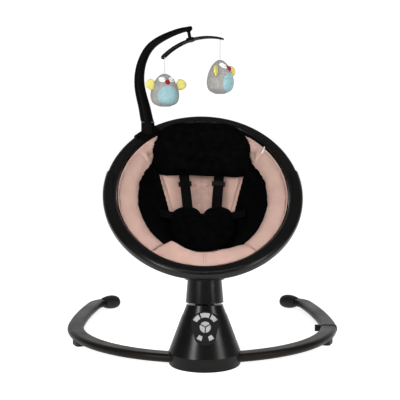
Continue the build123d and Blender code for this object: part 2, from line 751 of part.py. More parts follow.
def rim_joiners():
    """Plugs inside the rim, across the two joints."""
    path = rim_line(RIM_JOINT - JOINER_HALF, RIM_JOINT + JOINER_HALF)
    plug = sweep(rim_frame(path) * rim_section(-RIM_WALL - SNUG), path=path)
    return [plug, mirrored(plug)]


def rim_room(start, stop, grow):
    """Solid stretch of rim, grown all round, for cutting seats."""
    path = rim_line(start, stop)
    return sweep(rim_frame(path) * rim_section(grow), path=path)


def seat_bracket():
    """Flange on the neck with a saddle that the front of the rim lies in."""
    flange = disc(AXIS, FLANGE_RADIUS, NECK_TOP, NECK_TOP + FLANGE_THICK)
    depth = SADDLE_FRONT + SADDLE_BACK
    saddle = AXIS * Pos(0, (SADDLE_BACK - SADDLE_FRONT) / 2, NECK_TOP) * extrude(
        RectangleRounded(2 * SADDLE_HALF_WIDTH, depth, 12), SADDLE_RISE
    )
    low_rim = RIM_THICK / 2 + COVER_THICK
    saddle = split(saddle, bisect_by=RING.offset(-low_rim / 2), keep=Keep.BOTTOM)
    bracket = flange + (saddle - sling_body(-2 * SOFT_GAP))
    bracket -= rim_room(240, 300, COVER_THICK + SNUG)
    for x, y in bolt_places():
        bracket -= disc(AXIS, BOLT_RADIUS + SNUG, NECK_TOP, NECK_TOP + FLANGE_THICK / 2 + SNUG, x, y)
    return bracket


def sling_body(inset=0.0, rise=0.0):
    """Solid bowl inside the rim, taken in by an inset, with straight sides added above by rise."""
    rim_half_width = RING_HALF_WIDTH - RIM_WIDTH / 2 - SOFT_GAP
    rim_half_length = RING_HALF_LENGTH - RIM_WIDTH / 2 - SOFT_GAP
    top = Ellipse(rim_half_width - inset, rim_half_length - inset)
    sections = [RING * top]
    for share, front, back, side in SLING_SECTIONS:
        outline = Ellipse(RING_HALF_WIDTH - side - inset, RING_HALF_LENGTH - (front + back) / 2 - inset)
        sections.append(RING * Pos(0, (front - back) / 2, -share * SLING_DEPTH) * outline)
    front, back, side = SLING_FLOOR
    outline = Ellipse(RING_HALF_WIDTH - side - inset, RING_HALF_LENGTH - (front + back) / 2 - inset)
    sections.append(RING * Pos(0, (front - back) / 2, inset - SLING_DEPTH) * outline)
    bowl = loft(sections)
    if rise:
        bowl += extrude(RING * top, rise)
    return bowl


def seat_sling():
    return sling_body() - sling_body(SLING_WALL)


def band_path(start, stop):
    """Middle line of a padded band inside the rim."""
    inner = RIM_WIDTH / 2 + SOFT_GAP + SLING_WALL
    inset = inner + BAND_WIDTH / 2 * math.cos(math.radians(BAND_SLOPE)) + BAND_SETBACK
    drop = BAND_WIDTH / 2 * math.sin(math.radians(BAND_SLOPE))
    return rim_line(start, stop, RING_HALF_WIDTH - inset, RING_HALF_LENGTH - inset, -drop)


def band_section(thick, grow=0.0):
    """Crowned section of a padded band: flat back, swelling face, thin drawn-in edges."""
    half = BAND_WIDTH / 2 + grow
    edge = 1.5 + grow
    crown = ThreePointArc((-half, edge), (0, thick + grow), (half, edge))
    right = Line(crown @ 1, (half - 1, -grow))
    back = Line(right @ 1, (1 - half, -grow))
    left = Line(back @ 1, crown @ 0)
    return make_face([crown, right, back, left])


def padded_band(start, stop, thick, grow=0.0):
    """Padded band swept round part of the ring, its inner edge lower than its outer edge."""
    path = band_path(start, stop)
    frame = rim_frame(path) * Rot(0, 0, 180 - BAND_SLOPE)
    return sweep(frame * (Rot(0, 180, 0) * band_section(thick, grow)), path=path)


def liner(low_inset, high_inset):
    """Layer of padding inside the sling, below the bands."""
    layer = sling_body(low_inset) - sling_body(high_inset)
    inner = BAND_WIDTH * math.sin(math.radians(BAND_SLOPE))
    return split(layer, bisect_by=RING.offset(-inner - 8), keep=Keep.BOTTOM)


def panel_wedge(grow):
    """Upright wedge that holds the middle seat panel, wider at the head end."""
    front = -RING_HALF_LENGTH
    back = RING_HALF_LENGTH
    top = PANEL_TOP_HALF + grow
    low = PANEL_LOW_HALF + grow
    tip = PANEL_FRONT_HALF + grow
    outline = Polyline((-tip, front), (tip, front), (tip, front / 3), (low, 0), (top, back / 2), (top, back),
                       (-top, back), (-top, back / 2), (-low, 0), (-tip, front / 3), close=True)
    return extrude(RING.offset(-2 * SLING_DEPTH) * make_face(outline), 3 * SLING_DEPTH)


def seat_panel():
    return liner(SLING_WALL + SOFT_GAP, SLING_WALL + SOFT_GAP + PAD_THICK) & panel_wedge(0)


def side_panels():
    return (liner(SLING_WALL + SOFT_GAP, SLING_WALL + SOFT_GAP + PAD_THICK) - panel_wedge(SOFT_GAP)).solids()


def side_bands():
    band = padded_band(-BAND_SEAM + SEAM_GAP, BAND_END, BAND_THICK)
    return [band, mirrored(band)]


def front_band():
    return padded_band(180 + BAND_SEAM + SEAM_GAP, 360 - BAND_SEAM - SEAM_GAP, FRONT_BAND_THICK)


def pillow_form(width, height, thick, corner):
    """Crowned cushion with drawn-in edges, lofted through rounded outlines."""
    shares = ((-0.5, 0.74), (-0.26, 0.95), (0.0, 1.0), (0.26, 0.94), (0.5, 0.7))
    sections = []
    for level, share in shares:
        inset = (1 - share) * height / 2
        outline = RectangleRounded(width - 2 * inset, height - 2 * inset, corner - inset)
        sections.append(Plane.XY.offset(level * thick) * outline)
    return loft(sections)


def headrest_pillow():
    lean = math.radians(PILLOW_LEAN)
    up = Vector(0, math.cos(lean), math.sin(lean))
    frame = Plane(origin=(0, PILLOW_ALONG, -PILLOW_DEPTH), x_dir=(1, 0, 0), z_dir=Vector(1, 0, 0).cross(up))
    form = frame * pillow_form(PILLOW_WIDTH, PILLOW_HEIGHT, PILLOW_THICK, PILLOW_HEIGHT * 0.49)
    above = RIM_THICK / 2 + 2 * SOFT_GAP
    room = sling_body(SLING_WALL + PAD_THICK + 3 * SOFT_GAP, above)
    room += RING * Pos(0, PILLOW_ALONG, above) * Box(2 * PILLOW_WIDTH, 2 * PILLOW_HEIGHT, PILLOW_WIDTH, align=LOW)
    pillow = RING * form & room
    band = padded_band(-BAND_SEAM, BAND_END + SEAM_GAP, BAND_THICK, SOFT_GAP)
    return pillow - band - mirrored(band) - socket_block(2 * SOFT_GAP)


def harness_outline(scale_by):
    """Heart outline of the harness pad."""
    half = HARNESS_HALF_WIDTH * scale_by
    lobe = HARNESS_LOBE * scale_by
    notch = HARNESS_NOTCH * scale_by
    tip = HARNESS_TIP * scale_by
    right = ThreePointArc((0, notch), (half * 0.62, lobe), (half, notch * 0.55))
    flank = ThreePointArc(right @ 1, (half * 0.95, tip * 0.35), (half * 0.52, tip * 0.88))
    foot = ThreePointArc(flank @ 1, (0, tip), (-half * 0.52, tip * 0.88))
    flank_left = ThreePointArc(foot @ 1, (-half * 0.95, tip * 0.35), (-half, notch * 0.55))
    left = ThreePointArc(flank_left @ 1, (-half * 0.62, lobe), (0, notch))
    return make_face([right, flank, foot, flank_left, left])


def harness_base():
    """Depth of the harness pad's underside, just over the buckle."""
    return buckle_top() + SOFT_GAP


def seat_floor():
    return SLING_WALL + 2 * SOFT_GAP + PAD_THICK - SLING_DEPTH


def buckle_top():
    return seat_floor() + STRAP_THICK + SOFT_GAP + BUCKLE_THICK


def harness_pad():
    low = harness_base()
    shares = ((0.0, 0.86), (0.25, 0.97), (0.5, 1.0), (0.78, 0.92), (1.0, 0.76))
    sections = []
    for level, share in shares:
        place = RING * Pos(0, HARNESS_ALONG, low + level * HARNESS_THICK)
        sections.append(place * harness_outline(share))
    return loft(sections) & sling_body(SLING_WALL + PAD_THICK + 3 * SOFT_GAP)


def strap(start, stop, side, width=STRAP_WIDTH, thick=STRAP_THICK):
    """Flat webbing between two places in the ring's plane."""
    first = Vector(start[0] * side, start[1], start[2])
    last = Vector(stop[0] * side, stop[1], stop[2])
    along = (last - first).normalized()
    across_dir = Vector(0, 0, 1).cross(along)
    frame = Plane(origin=(first + last) / 2, x_dir=across_dir, z_dir=along)
    return RING * (frame * Box(width, thick, (last - first).length))


def shoulder_straps():
    pad = harness_pad()
    pillow = headrest_pillow()
    return [strap(STRAP_TOP, STRAP_LOW, side) - pad - pillow for side in (1, -1)]


def waist_straps():
    pad = harness_pad()
    return [strap(WAIST_OUTER, WAIST_INNER, side) - pad for side in (1, -1)]


def strap_adjusters():
    """Slider on each shoulder strap."""
    first = Vector(*STRAP_TOP)
    last = Vector(*STRAP_LOW)
    begin = first + (last - first) * ADJUSTER_PLACE
    end = begin + (last - first).normalized() * ADJUSTER_LENGTH
    sliders = []
    for side in (1, -1):
        block = strap(tuple(begin), tuple(end), side, ADJUSTER_WIDTH, ADJUSTER_THICK)
        room = strap(STRAP_TOP, STRAP_LOW, side, STRAP_WIDTH + 2 * SNUG, STRAP_THICK + 2 * SNUG)
        sliders.append(block - room)
    return sliders


def crotch_strap():
    low = seat_floor()
    length = BUCKLE_LENGTH + 12
    return RING * Pos(0, BUCKLE_ALONG, low) * Box(STRAP_WIDTH, length, STRAP_THICK, align=LOW)


def buckle_frame():
    """Plane at the middle of the buckle's front end, x across, y along, z up."""
    middle = buckle_top() - BUCKLE_THICK / 2
    return RING * Pos(0, BUCKLE_ALONG - BUCKLE_LENGTH / 2, middle)


def buckle_body():
    block = extrude(RectangleRounded(BUCKLE_WIDTH, BUCKLE_LENGTH, 10), BUCKLE_THICK / 2, both=True)
    body = buckle_frame() * Pos(0, BUCKLE_LENGTH / 2, 0) * block
    depth = RELEASE_LENGTH - RELEASE_PROUD + RELEASE_TRAVEL + SNUG
    room = Box(
        RELEASE_WIDTH + 2 * BUTTON_GAP,
        depth,
        RELEASE_THICK + 2 * BUTTON_GAP,
        align=(Align.CENTER, Align.MIN, Align.CENTER),
    )
    return body - buckle_frame() * room


def buckle_release():
    key = Box(RELEASE_WIDTH, RELEASE_LENGTH, RELEASE_THICK, align=(Align.CENTER, Align.MIN, Align.CENTER))
    return buckle_frame() * Pos(0, -RELEASE_PROUD, 0) * key


def socket_middle():
    """Middle of the rim at the arm's socket."""
    angle = math.radians(SOCKET_ROUND)
    return RING.from_local_coords(
        Vector(RING_HALF_WIDTH * math.cos(angle), RING_HALF_LENGTH * math.sin(angle), 0)
    )


def arm_foot():
    """Centre of the socket's top face, where the arm stands."""
    return socket_middle() + Vector(0, 0, SOCKET_RISE)


def socket_block(grow=0.0):
    """Outer form of the arm's socket, grown all round."""
    half = SOCKET_SPAN + math.degrees(grow / RING_HALF_WIDTH)
    clamp = rim_room(SOCKET_ROUND - half, SOCKET_ROUND + half, CLAMP_WALL + grow)
    foot = arm_foot()
    boss = Pos(foot.X, foot.Y, foot.Z - SOCKET_RISE) * Cylinder(SOCKET_RADIUS + grow, SOCKET_RISE + grow, align=LOW)
    return clamp + boss


def arm_socket():
    """Clamp round the upper rim with an upright boss for the arm's plug."""
    foot = arm_foot()
    socket = socket_block() - sling_body(-SOFT_GAP, 4 * RIM_THICK)
    socket -= rim_room(SOCKET_ROUND - 3 * SOCKET_SPAN, SOCKET_ROUND + 3 * SOCKET_SPAN, SNUG)
    bore = Pos(foot.X, foot.Y, foot.Z - PLUG_LENGTH) * Cylinder(PLUG_RADIUS, PLUG_LENGTH, align=LOW)
    return socket - bore


def arm_plane():
    """Plane of the hooked arm: x the way the hook points, y up."""
    turn = math.radians(ARM_HEADING)
    ahead = Vector(math.cos(turn), math.sin(turn), 0)
    return Plane(origin=arm_foot(), x_dir=ahead, z_dir=ahead.cross(Vector(0, 0, 1)))


def arm_line():
    """Middle line of the hooked arm: straight and leaning back, then the bend, then the long tip."""
    lean = math.radians(ARM_LEAN)
    rise = Line((0, 0), (-ARM_STRAIGHT * math.sin(lean), ARM_STRAIGHT * math.cos(lean)))
    bend = JernArc(rise @ 1, rise % 1, ARM_BEND_RADIUS, -ARM_BEND)
    tip = JernArc(bend @ 1, bend % 1, ARM_TIP_RADIUS, -ARM_TIP_TURN)
    return arm_plane() * Wire([rise, bend, tip])


def stem_frame():
    """Plane at the arm's tip: z down the stem, x the way the hook points."""
    turn = math.radians(ARM_HEADING)
    lean = math.radians(STEM_LEAN)
    ahead = Vector(math.cos(turn), math.sin(turn), 0)
    down = ahead * math.sin(lean) - Vector(0, 0, 1) * math.cos(lean)
    level = ahead * math.cos(lean) + Vector(0, 0, 1) * math.sin(lean)
    line = arm_line()
    return Plane(origin=line @ (1 - STEM_SETBACK / line.length), x_dir=level, z_dir=down)


def mobile_arm():
    """Tapered hooked arm with a plug at its foot and a boss for the stem at its tip."""
    line = arm_line()
    plane = arm_plane()
    steps = 12
    sections = [Plane(origin=arm_foot() + Vector(0, 0, SOFT_GAP), x_dir=plane.z_dir) * Circle(ARM_RADIUS_LOW)]
    for i in range(1, steps + 1):
        share = i / steps
        radius = ARM_RADIUS_LOW + (ARM_RADIUS_HIGH - ARM_RADIUS_LOW) * share
        sections.append(Plane(origin=line @ share, x_dir=plane.z_dir, z_dir=line % share) * Circle(radius))
    arm = loft(sections)
    arm += Plane(origin=arm_foot()) * Pos(0, 0, SNUG - PLUG_LENGTH) * Cylinder(
        PLUG_RADIUS - RUN_FIT, PLUG_LENGTH + SOFT_GAP + 4, align=LOW
    )
    boss = stem_frame()
    arm += disc(boss, TIP_BOSS_RADIUS, 0, TIP_BOSS_RADIUS)
    low = TIP_BOSS_RADIUS
    return arm - disc(boss, STEM_PIN_RADIUS, low - STEM_PIN_LENGTH - SNUG, low)


def bar_frame():
    """Plane at the hub's middle: x along the bar to its right end, z down the stem."""
    frame = stem_frame()
    down = frame.z_dir
    turn = math.radians(BAR_HEADING)
    wanted = Vector(math.cos(turn), math.sin(turn), 0)
    along = (wanted - down * wanted.dot(down)).normalized()
    middle = frame.origin + down * (TIP_BOSS_RADIUS + SOFT_GAP + STEM_LENGTH)
    return Plane(origin=middle, x_dir=along, z_dir=down)


def bar_radius():
    return (BAR_HALF**2 + BAR_SAG**2) / (2 * BAR_SAG)


def mobile_bar():
    """Arched slotted bar, its hub and the stem that turns in the arm's tip."""
    radius = bar_radius()
    half_angle = math.degrees(math.asin(BAR_HALF / radius))
    side = Plane(origin=(0, 0, radius), x_dir=(1, 0, 0), z_dir=(0, 1, 0))
    strip = extrude(side * annular(radius - BAR_THICK, radius, 90 - half_angle, 90 + half_angle), BAR_WIDTH / 2, both=True)
    outline = extrude(SlotOverall(2 * BAR_HALF, BAR_WIDTH), BAR_SAG + BAR_THICK + 2)
    strip = strip & outline
    for along in (-1, 1):
        place = along * (BAR_HALF + HUB_RADIUS) / 2
        slot = extrude(Pos(place, 0) * SlotOverall(BAR_SLOT_LENGTH, BAR_SLOT_WIDTH), 2 * BAR_SAG)
        strip -= slot
    hub = Pos(0, 0, -HUB_THICK / 2) * Cylinder(HUB_RADIUS, HUB_THICK + BAR_THICK / 2, align=LOW)
    shank = Pos(0, 0, -STEM_LENGTH) * Cylinder(STEM_RADIUS, STEM_LENGTH, align=LOW)
    pin_top = -STEM_LENGTH - SOFT_GAP - STEM_PIN_LENGTH
    pin = Pos(0, 0, pin_top) * Cylinder(STEM_PIN_RADIUS - RUN_FIT, -pin_top, align=LOW)
    return bar_frame() * (strip + hub + shank + pin)


def string_top(side):
    """Knot of a bird's string, under an end of the bar."""
    reach = BAR_HALF - STRING_INSET
    under = bar_radius() - BAR_THICK - STRING_GAP
    low = bar_radius() - math.sqrt(under**2 - reach**2)
    return bar_frame().from_local_coords(Vector(side * reach, 0, low))


def toy_string(side, length):
    top = string_top(side)
    return Pos(top.X, top.Y, top.Z - length) * Cylinder(STRING_RADIUS, length, align=LOW)


def toy_frame(side, length, turn):
    """Foot of a bird: z up, -y the way it faces."""
    top = string_top(side)
    return Plane(origin=(top.X, top.Y, top.Z - length - TOY_HEIGHT)) * Rot(0, 0, turn)


def toy_form(grow=0.0):
    """Stuffed body, wide at the foot and drawn to a point at the head."""
    shares = (
        (0.0, 0.34),
        (0.06, 0.66),
        (0.2, 0.94),
        (0.36, 1.0),
        (0.54, 0.9),
        (0.72, 0.66),
        (0.88, 0.36),
        (1.0, 0.1),
    )
    sections = []
    for level, share in shares:
        outline = Ellipse(TOY_WIDTH / 2 * share + grow, TOY_DEPTH / 2 * share + grow)
        sections.append(Plane.XY.offset(level * TOY_HEIGHT) * outline)
    return loft(sections)


def lens(width, depth, height):
    """Swelling pad with a rounded outline, lofted across its depth."""
    shares = ((-0.5, 0.5), (-0.3, 0.86), (0.0, 1.0), (0.3, 0.86), (0.5, 0.5))
    sections = []
    for level, share in shares:
        sections.append(Plane.XZ.offset(level * depth) * Ellipse(width / 2 * share, height / 2 * share))
    return loft(sections)


def toy_wings():
    """Two flat wings, cut where they meet the body."""
    body = toy_form(SNUG)
    wings = []
    for side in (-1, 1):
        place = Pos(side * TOY_WIDTH * 0.5, 0, TOY_HEIGHT * 0.6) * Rot(0, side * 30, 0)
        wing = place * lens(WING_LENGTH, WING_THICK, WING_HEIGHT) - body
        wings.append(max(wing.solids(), key=lambda solid: abs(solid.center().X)))
    return wings


def toy_trim():
    """Sewn belly, eyes and beak on the front of the body."""
    body = toy_form(SNUG)
    front = -TOY_DEPTH / 2
    pieces = [Pos(0, front * 0.84, TOY_HEIGHT * 0.34) * lens(TOY_WIDTH * 0.62, 16, TOY_HEIGHT * 0.46)]
    for side in (-1, 1):
        pieces.append(Pos(side * TOY_WIDTH * 0.13, front * 0.62, TOY_HEIGHT * 0.79) * lens(8, 12, 10))
    pieces.append(Pos(0, front * 0.74, TOY_HEIGHT * 0.68) * lens(9, 16, 10))
    trim = []
    for piece in pieces:
        trim.append(min((piece - body).solids(), key=lambda solid: solid.center().Y))
    return trim


def placed(frame, shapes):
    return [frame * shape for shape in shapes]


def save(name, shapes):
    """Write one node's solids."""
    group = shapes if isinstance(shapes, list) else [shapes]
    solids = []
    for shape in group:
        solids.extend(shape.solids())
    export_step(Compound(children=solids) if len(solids) > 1 else solids[0], f"parts/{name}.step")


def build():
    os.makedirs("parts", exist_ok=True)
    tube = base_tube()
    cap = end_cap()
    foot = rubber_foot()
    save("base_plate", base_plate())
    save("housing_skirt", housing_skirt())
    save("motor_housing", motor_housing())
    save("housing_collar", housing_collar())
    save("control_panel", control_panel())
    save("circuit_board", circuit_board())
    save("right_base_tube", tube)
    save("left_base_tube", mirrored(tube))
    save("end_caps", [cap, mirrored(cap)])
    save("rubber_feet", [foot, mirrored(foot)])
    save("tube_clip", tube_clip())
    save("base_screws", base_screws())
    save("bearing_carrier", bearing_carrier())
    save("shaft_bushes", shaft_bushes())
    save("drive_motor", drive_motor())
    save("motor_pinion", motor_pinion())
    save("speaker", speaker())
    save("power_inlet", power_inlet())
    for name, outline in button_outlines().items():
        save(name, panel_button(outline))
    save("swing_shaft", swing_shaft())
    save("cross_pin", cross_pin())
    save("drive_gear", drive_gear())
    save("neck_sleeve", neck_sleeve())
    save("seat_bracket", seat_bracket())
    save("bracket_bolts", bracket_bolts())
    save("lower_rim", rim_half(*lower_span()))
    save("upper_rim", rim_half(RIM_JOINT, 180 - RIM_JOINT))
    save("rim_cover", rim_cover())
    save("rim_joiners", rim_joiners())
    save("seat_sling", seat_sling())
    save("side_bands", side_bands())
    save("front_band", front_band())
    save("side_panels", side_panels())
    save("seat_panel", seat_panel())
    save("headrest_pillow", headrest_pillow())
    save("harness_pad", harness_pad())
    save("shoulder_straps", shoulder_straps())
    save("waist_straps", waist_straps())
    save("strap_adjusters", strap_adjusters())
    save("crotch_strap", crotch_strap())
    save("buckle_body", buckle_body())
    save("buckle_release", buckle_release())
    save("arm_socket", arm_socket())
    save("mobile_arm", mobile_arm())
    save("mobile_bar", mobile_bar())
    toys = (("left", -1, LEFT_STRING, LEFT_TOY_TURN), ("right", 1, RIGHT_STRING, RIGHT_TOY_TURN))
    for name, side, length, turn in toys:
        frame = toy_frame(side, length, turn)
        save(f"{name}_toy_string", toy_string(side, length))
        save(f"{name}_toy_body", frame * toy_form())
        save(f"{name}_toy_wings", placed(frame, toy_wings()))
        save(f"{name}_toy_trim", placed(frame, toy_trim()))


build()
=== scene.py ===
import math

import bmesh
import bpy
from mathutils import Matrix, Vector
from mathutils.bvhtree import BVHTree


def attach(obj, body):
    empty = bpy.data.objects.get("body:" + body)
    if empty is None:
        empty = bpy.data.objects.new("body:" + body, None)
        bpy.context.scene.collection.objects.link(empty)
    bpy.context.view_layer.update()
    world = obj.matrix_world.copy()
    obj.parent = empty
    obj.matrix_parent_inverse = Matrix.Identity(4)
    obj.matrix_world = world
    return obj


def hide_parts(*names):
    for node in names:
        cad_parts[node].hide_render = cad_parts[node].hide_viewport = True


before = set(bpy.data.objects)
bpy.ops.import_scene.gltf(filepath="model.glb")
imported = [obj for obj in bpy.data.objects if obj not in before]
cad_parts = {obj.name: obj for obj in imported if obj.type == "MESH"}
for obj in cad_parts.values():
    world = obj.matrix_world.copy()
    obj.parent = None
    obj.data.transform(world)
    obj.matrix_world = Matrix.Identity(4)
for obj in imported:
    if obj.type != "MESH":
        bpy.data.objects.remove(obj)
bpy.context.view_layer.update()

# Studio round the swing: a pale seamless floor and backdrop, lit brightly behind it and dimly in front.
# A tall softbox on the left and a weaker one on the right draw the upright highlights on the black plastic,
# a broad one in front fills the seat's hollow, and a narrow strip overhead draws the thin lines on the rim.
scene = bpy.context.scene
scene.view_settings.view_transform = "Standard"
photo_lens = bpy.data.cameras.new("photo_camera")
photo_lens.sensor_width = 36.0
photo_lens.lens = 80.2
photo_camera = bpy.data.objects.new("photo_camera", photo_lens)
scene.collection.objects.link(photo_camera)
camera_turn = math.radians(1.0)
camera_dip = math.radians(5.16)
sight = Vector((
    math.sin(camera_turn) * math.cos(camera_dip),
    math.cos(camera_turn) * math.cos(camera_dip),
    -math.sin(camera_dip),
))
photo_camera.location = (-0.0432, -1.8995, 0.528)
photo_camera.rotation_euler = sight.to_track_quat("-Z", "Y").to_euler()
scene.camera = photo_camera

studio_room = bpy.data.worlds.new("studio_room")
studio_room.use_nodes = True
scene.world = studio_room
room_nodes = studio_room.node_tree.nodes
room_links = studio_room.node_tree.links
room_way = room_nodes.new("ShaderNodeTexCoord")
room_split = room_nodes.new("ShaderNodeSeparateXYZ")
room_glow = room_nodes.new("ShaderNodeMapRange")
room_glow.inputs["From Min"].default_value = 0.45
room_glow.inputs["From Max"].default_value = 0.9
room_glow.inputs["To Min"].default_value = 0.13
room_glow.inputs["To Max"].default_value = 1.05
room_links.new(room_way.outputs["Generated"], room_split.inputs["Vector"])
room_links.new(room_split.outputs["Y"], room_glow.inputs["Value"])
room_path = room_nodes.new("ShaderNodeLightPath")
room_white = room_nodes.new("ShaderNodeMath")
room_white.operation = "MAXIMUM"
room_links.new(room_glow.outputs["Result"], room_white.inputs[0])
room_links.new(room_path.outputs["Is Camera Ray"], room_white.inputs[1])
room_links.new(room_white.outputs["Value"], room_nodes["Background"].inputs["Strength"])
room_nodes["Background"].inputs["Color"].default_value = (1.0, 1.0, 1.0, 1.0)


def softbox(name, place, aim, wide, tall, power, mirrored=True):
    """Rectangular soft light that faces a point, seen in glossy surfaces or hidden from them."""
    glow = bpy.data.lights.new(name, "AREA")
    glow.shape = "RECTANGLE"
    glow.size = wide
    glow.size_y = tall
    glow.energy = power
    holder = bpy.data.objects.new(name, glow)
    scene.collection.objects.link(holder)
    holder.visible_glossy = mirrored
    holder.location = place
    holder.rotation_euler = (Vector(aim) - Vector(place)).to_track_quat("-Z", "Y").to_euler()


softbox("key_left", (-1.9, -2.2, 1.7), (0.0, 0.1, 0.35), 0.85, 1.6, 48)
softbox("fill_right", (2.3, -1.6, 1.4), (0.0, 0.1, 0.35), 0.8, 1.6, 30)
softbox("front_fill", (0.0, -2.8, 0.8), (0.0, 0.15, 0.35), 2.4, 1.4, 68, mirrored=False)
softbox("rim_strip", (0.0, -0.75, 2.2), (0.0, 0.2, 0.36), 2.2, 0.15, 8)


def add_piece(name, shape):
    """New object at the origin from a finished bmesh."""
    mesh = bpy.data.meshes.new(name)
    shape.to_mesh(mesh)
    shape.free()
    piece = bpy.data.objects.new(name, mesh)
    scene.collection.objects.link(piece)
    return piece


def surface(name, roughness, specular=0.5):
    """New material with its shader's plain values set."""
    material = bpy.data.materials.new(name)
    material.use_nodes = True
    shader = material.node_tree.nodes["Principled BSDF"]
    shader.inputs["Roughness"].default_value = roughness
    shader.inputs["Specular IOR Level"].default_value = specular
    return material


def cloud(material, scale, detail=4.0):
    """Noise over the surface, at so many lumps a metre."""
    tree = material.node_tree
    where = tree.nodes.new("ShaderNodeTexCoord")
    noise = tree.nodes.new("ShaderNodeTexNoise")
    noise.inputs["Scale"].default_value = scale
    noise.inputs["Detail"].default_value = detail
    tree.links.new(where.outputs["Object"], noise.inputs["Vector"])
    return noise.outputs["Fac"]


def shade_between(material, dark, light, scale, low=0.3, high=0.7):
    """Colour that drifts between two shades."""
    tree = material.node_tree
    ramp = tree.nodes.new("ShaderNodeValToRGB")
    ramp.color_ramp.elements[0].position = low
    ramp.color_ramp.elements[0].color = (*dark, 1.0)
    ramp.color_ramp.elements[1].position = high
    ramp.color_ramp.elements[1].color = (*light, 1.0)
    tree.links.new(cloud(material, scale), ramp.inputs["Fac"])
    tree.links.new(ramp.outputs["Color"], tree.nodes["Principled BSDF"].inputs["Base Color"])


floor_shape = bmesh.new()
bmesh.ops.create_grid(floor_shape, x_segments=2, y_segments=2, size=60.0)
studio_floor = add_piece("studio_floor", floor_shape)
pale_floor = surface("pale_floor", 0.85, 0.2)
shade_between(pale_floor, (0.70, 0.70, 0.70), (0.73, 0.73, 0.73), 0.6)
floor_glow = pale_floor.node_tree.nodes["Principled BSDF"].inputs
floor_glow["Emission Color"].default_value = (1.0, 1.0, 1.0, 1.0)
floor_glow["Emission Strength"].default_value = 0.8
studio_floor.data.materials.append(pale_floor)

# Horseshoe base: two bent flat-oval steel tubes that plug into the housing's skirt.
# They are powder coated in satin black, with the faint orange peel of baked powder.


def rub(material, low, high, scale):
    """Roughness that varies where hands and cloths have passed."""
    tree = material.node_tree
    spread = tree.nodes.new("ShaderNodeMapRange")
    spread.inputs["From Min"].default_value = 0.3
    spread.inputs["From Max"].default_value = 0.7
    spread.inputs["To Min"].default_value = low
    spread.inputs["To Max"].default_value = high
    tree.links.new(cloud(material, scale), spread.inputs["Value"])
    tree.links.new(spread.outputs["Result"], tree.nodes["Principled BSDF"].inputs["Roughness"])


def raise_by(material, height, depth, strength=1.0):
    """Bump from a height, added on top of any bump that is there."""
    tree = material.node_tree
    shader = tree.nodes["Principled BSDF"]
    bump = tree.nodes.new("ShaderNodeBump")
    bump.inputs["Strength"].default_value = strength
    bump.inputs["Distance"].default_value = depth
    tree.links.new(height, bump.inputs["Height"])
    if shader.inputs["Normal"].links:
        tree.links.new(shader.inputs["Normal"].links[0].from_socket, bump.inputs["Normal"])
    tree.links.new(bump.outputs["Normal"], shader.inputs["Normal"])


def dress(material, *names):
    """Give a finish to pieces that come from the CAD model."""
    for name in names:
        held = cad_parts[name].data.materials
        held.clear()
        held.append(material)


powder_coat = surface("powder_coat", 0.4, 0.13)
powder_coat.node_tree.nodes["Principled BSDF"].inputs["Specular Tint"].default_value = (1.0, 0.92, 0.86, 1.0)
shade_between(powder_coat, (0.0035, 0.0028, 0.0024), (0.0065, 0.0054, 0.0046), 9.0)
rub(powder_coat, 0.34, 0.46, 14.0)
raise_by(powder_coat, cloud(powder_coat, 1400.0, 2.0), 0.00006)
dress(powder_coat, "right_base_tube", "left_base_tube")

# Rubber boots on the tubes' back ends and rubber feet under the front bends, moulded in matt black.
# The boots are pushed over the tube ends, and the feet are glued under the tubes.
boot_rubber = surface("boot_rubber", 0.6, 0.25)
shade_between(boot_rubber, (0.006, 0.006, 0.006), (0.010, 0.010, 0.010), 30.0)
raise_by(boot_rubber, cloud(boot_rubber, 2400.0, 2.0), 0.00008)
dress(boot_rubber, "end_caps", "rubber_feet")

# Motor housing: skirt, cone and collar, injection moulded in glossy black and snapped together.
# The moulding has a faint flow pattern and picks up long upright highlights.
gloss_black = surface("gloss_black", 0.28, 0.28)
shade_between(gloss_black, (0.0018, 0.0016, 0.0015), (0.003, 0.0027, 0.0025), 6.0)
rub(gloss_black, 0.23, 0.32, 10.0)
raise_by(gloss_black, cloud(gloss_black, 60.0, 1.0), 0.00012)
dress(gloss_black, "motor_housing", "housing_collar", "neck_sleeve", "lower_rim", "upper_rim", "rim_cover")
skirt_black = surface("skirt_black", 0.4, 0.14)
shade_between(skirt_black, (0.003, 0.0028, 0.0027), (0.0048, 0.0045, 0.0044), 8.0)
raise_by(skirt_black, cloud(skirt_black, 2200.0, 2.0), 0.00005)
dress(skirt_black, "housing_skirt", "base_plate", "tube_clip", "seat_bracket", "rim_joiners")

# Control panel: a matt black shield let into the cone, with light grey rubber-feel push buttons.
# The buttons stand in pockets of the panel and move towards the board behind it.
panel_black = surface("panel_black", 0.5, 0.16)
shade_between(panel_black, (0.0035, 0.0035, 0.0035), (0.0055, 0.0055, 0.0055), 20.0)
raise_by(panel_black, cloud(panel_black, 3000.0, 2.0), 0.00005)
dress(panel_black, "control_panel", "buckle_body", "strap_adjusters", "speaker", "power_inlet")
button_grey = surface("button_grey", 0.5, 0.4)
shade_between(button_grey, (0.22, 0.22, 0.225), (0.28, 0.28, 0.285), 60.0)
raise_by(button_grey, cloud(button_grey, 3000.0, 2.0), 0.00004)
button_names = [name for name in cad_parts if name.startswith("button_")]
dress(button_grey, "buckle_release", *button_names)

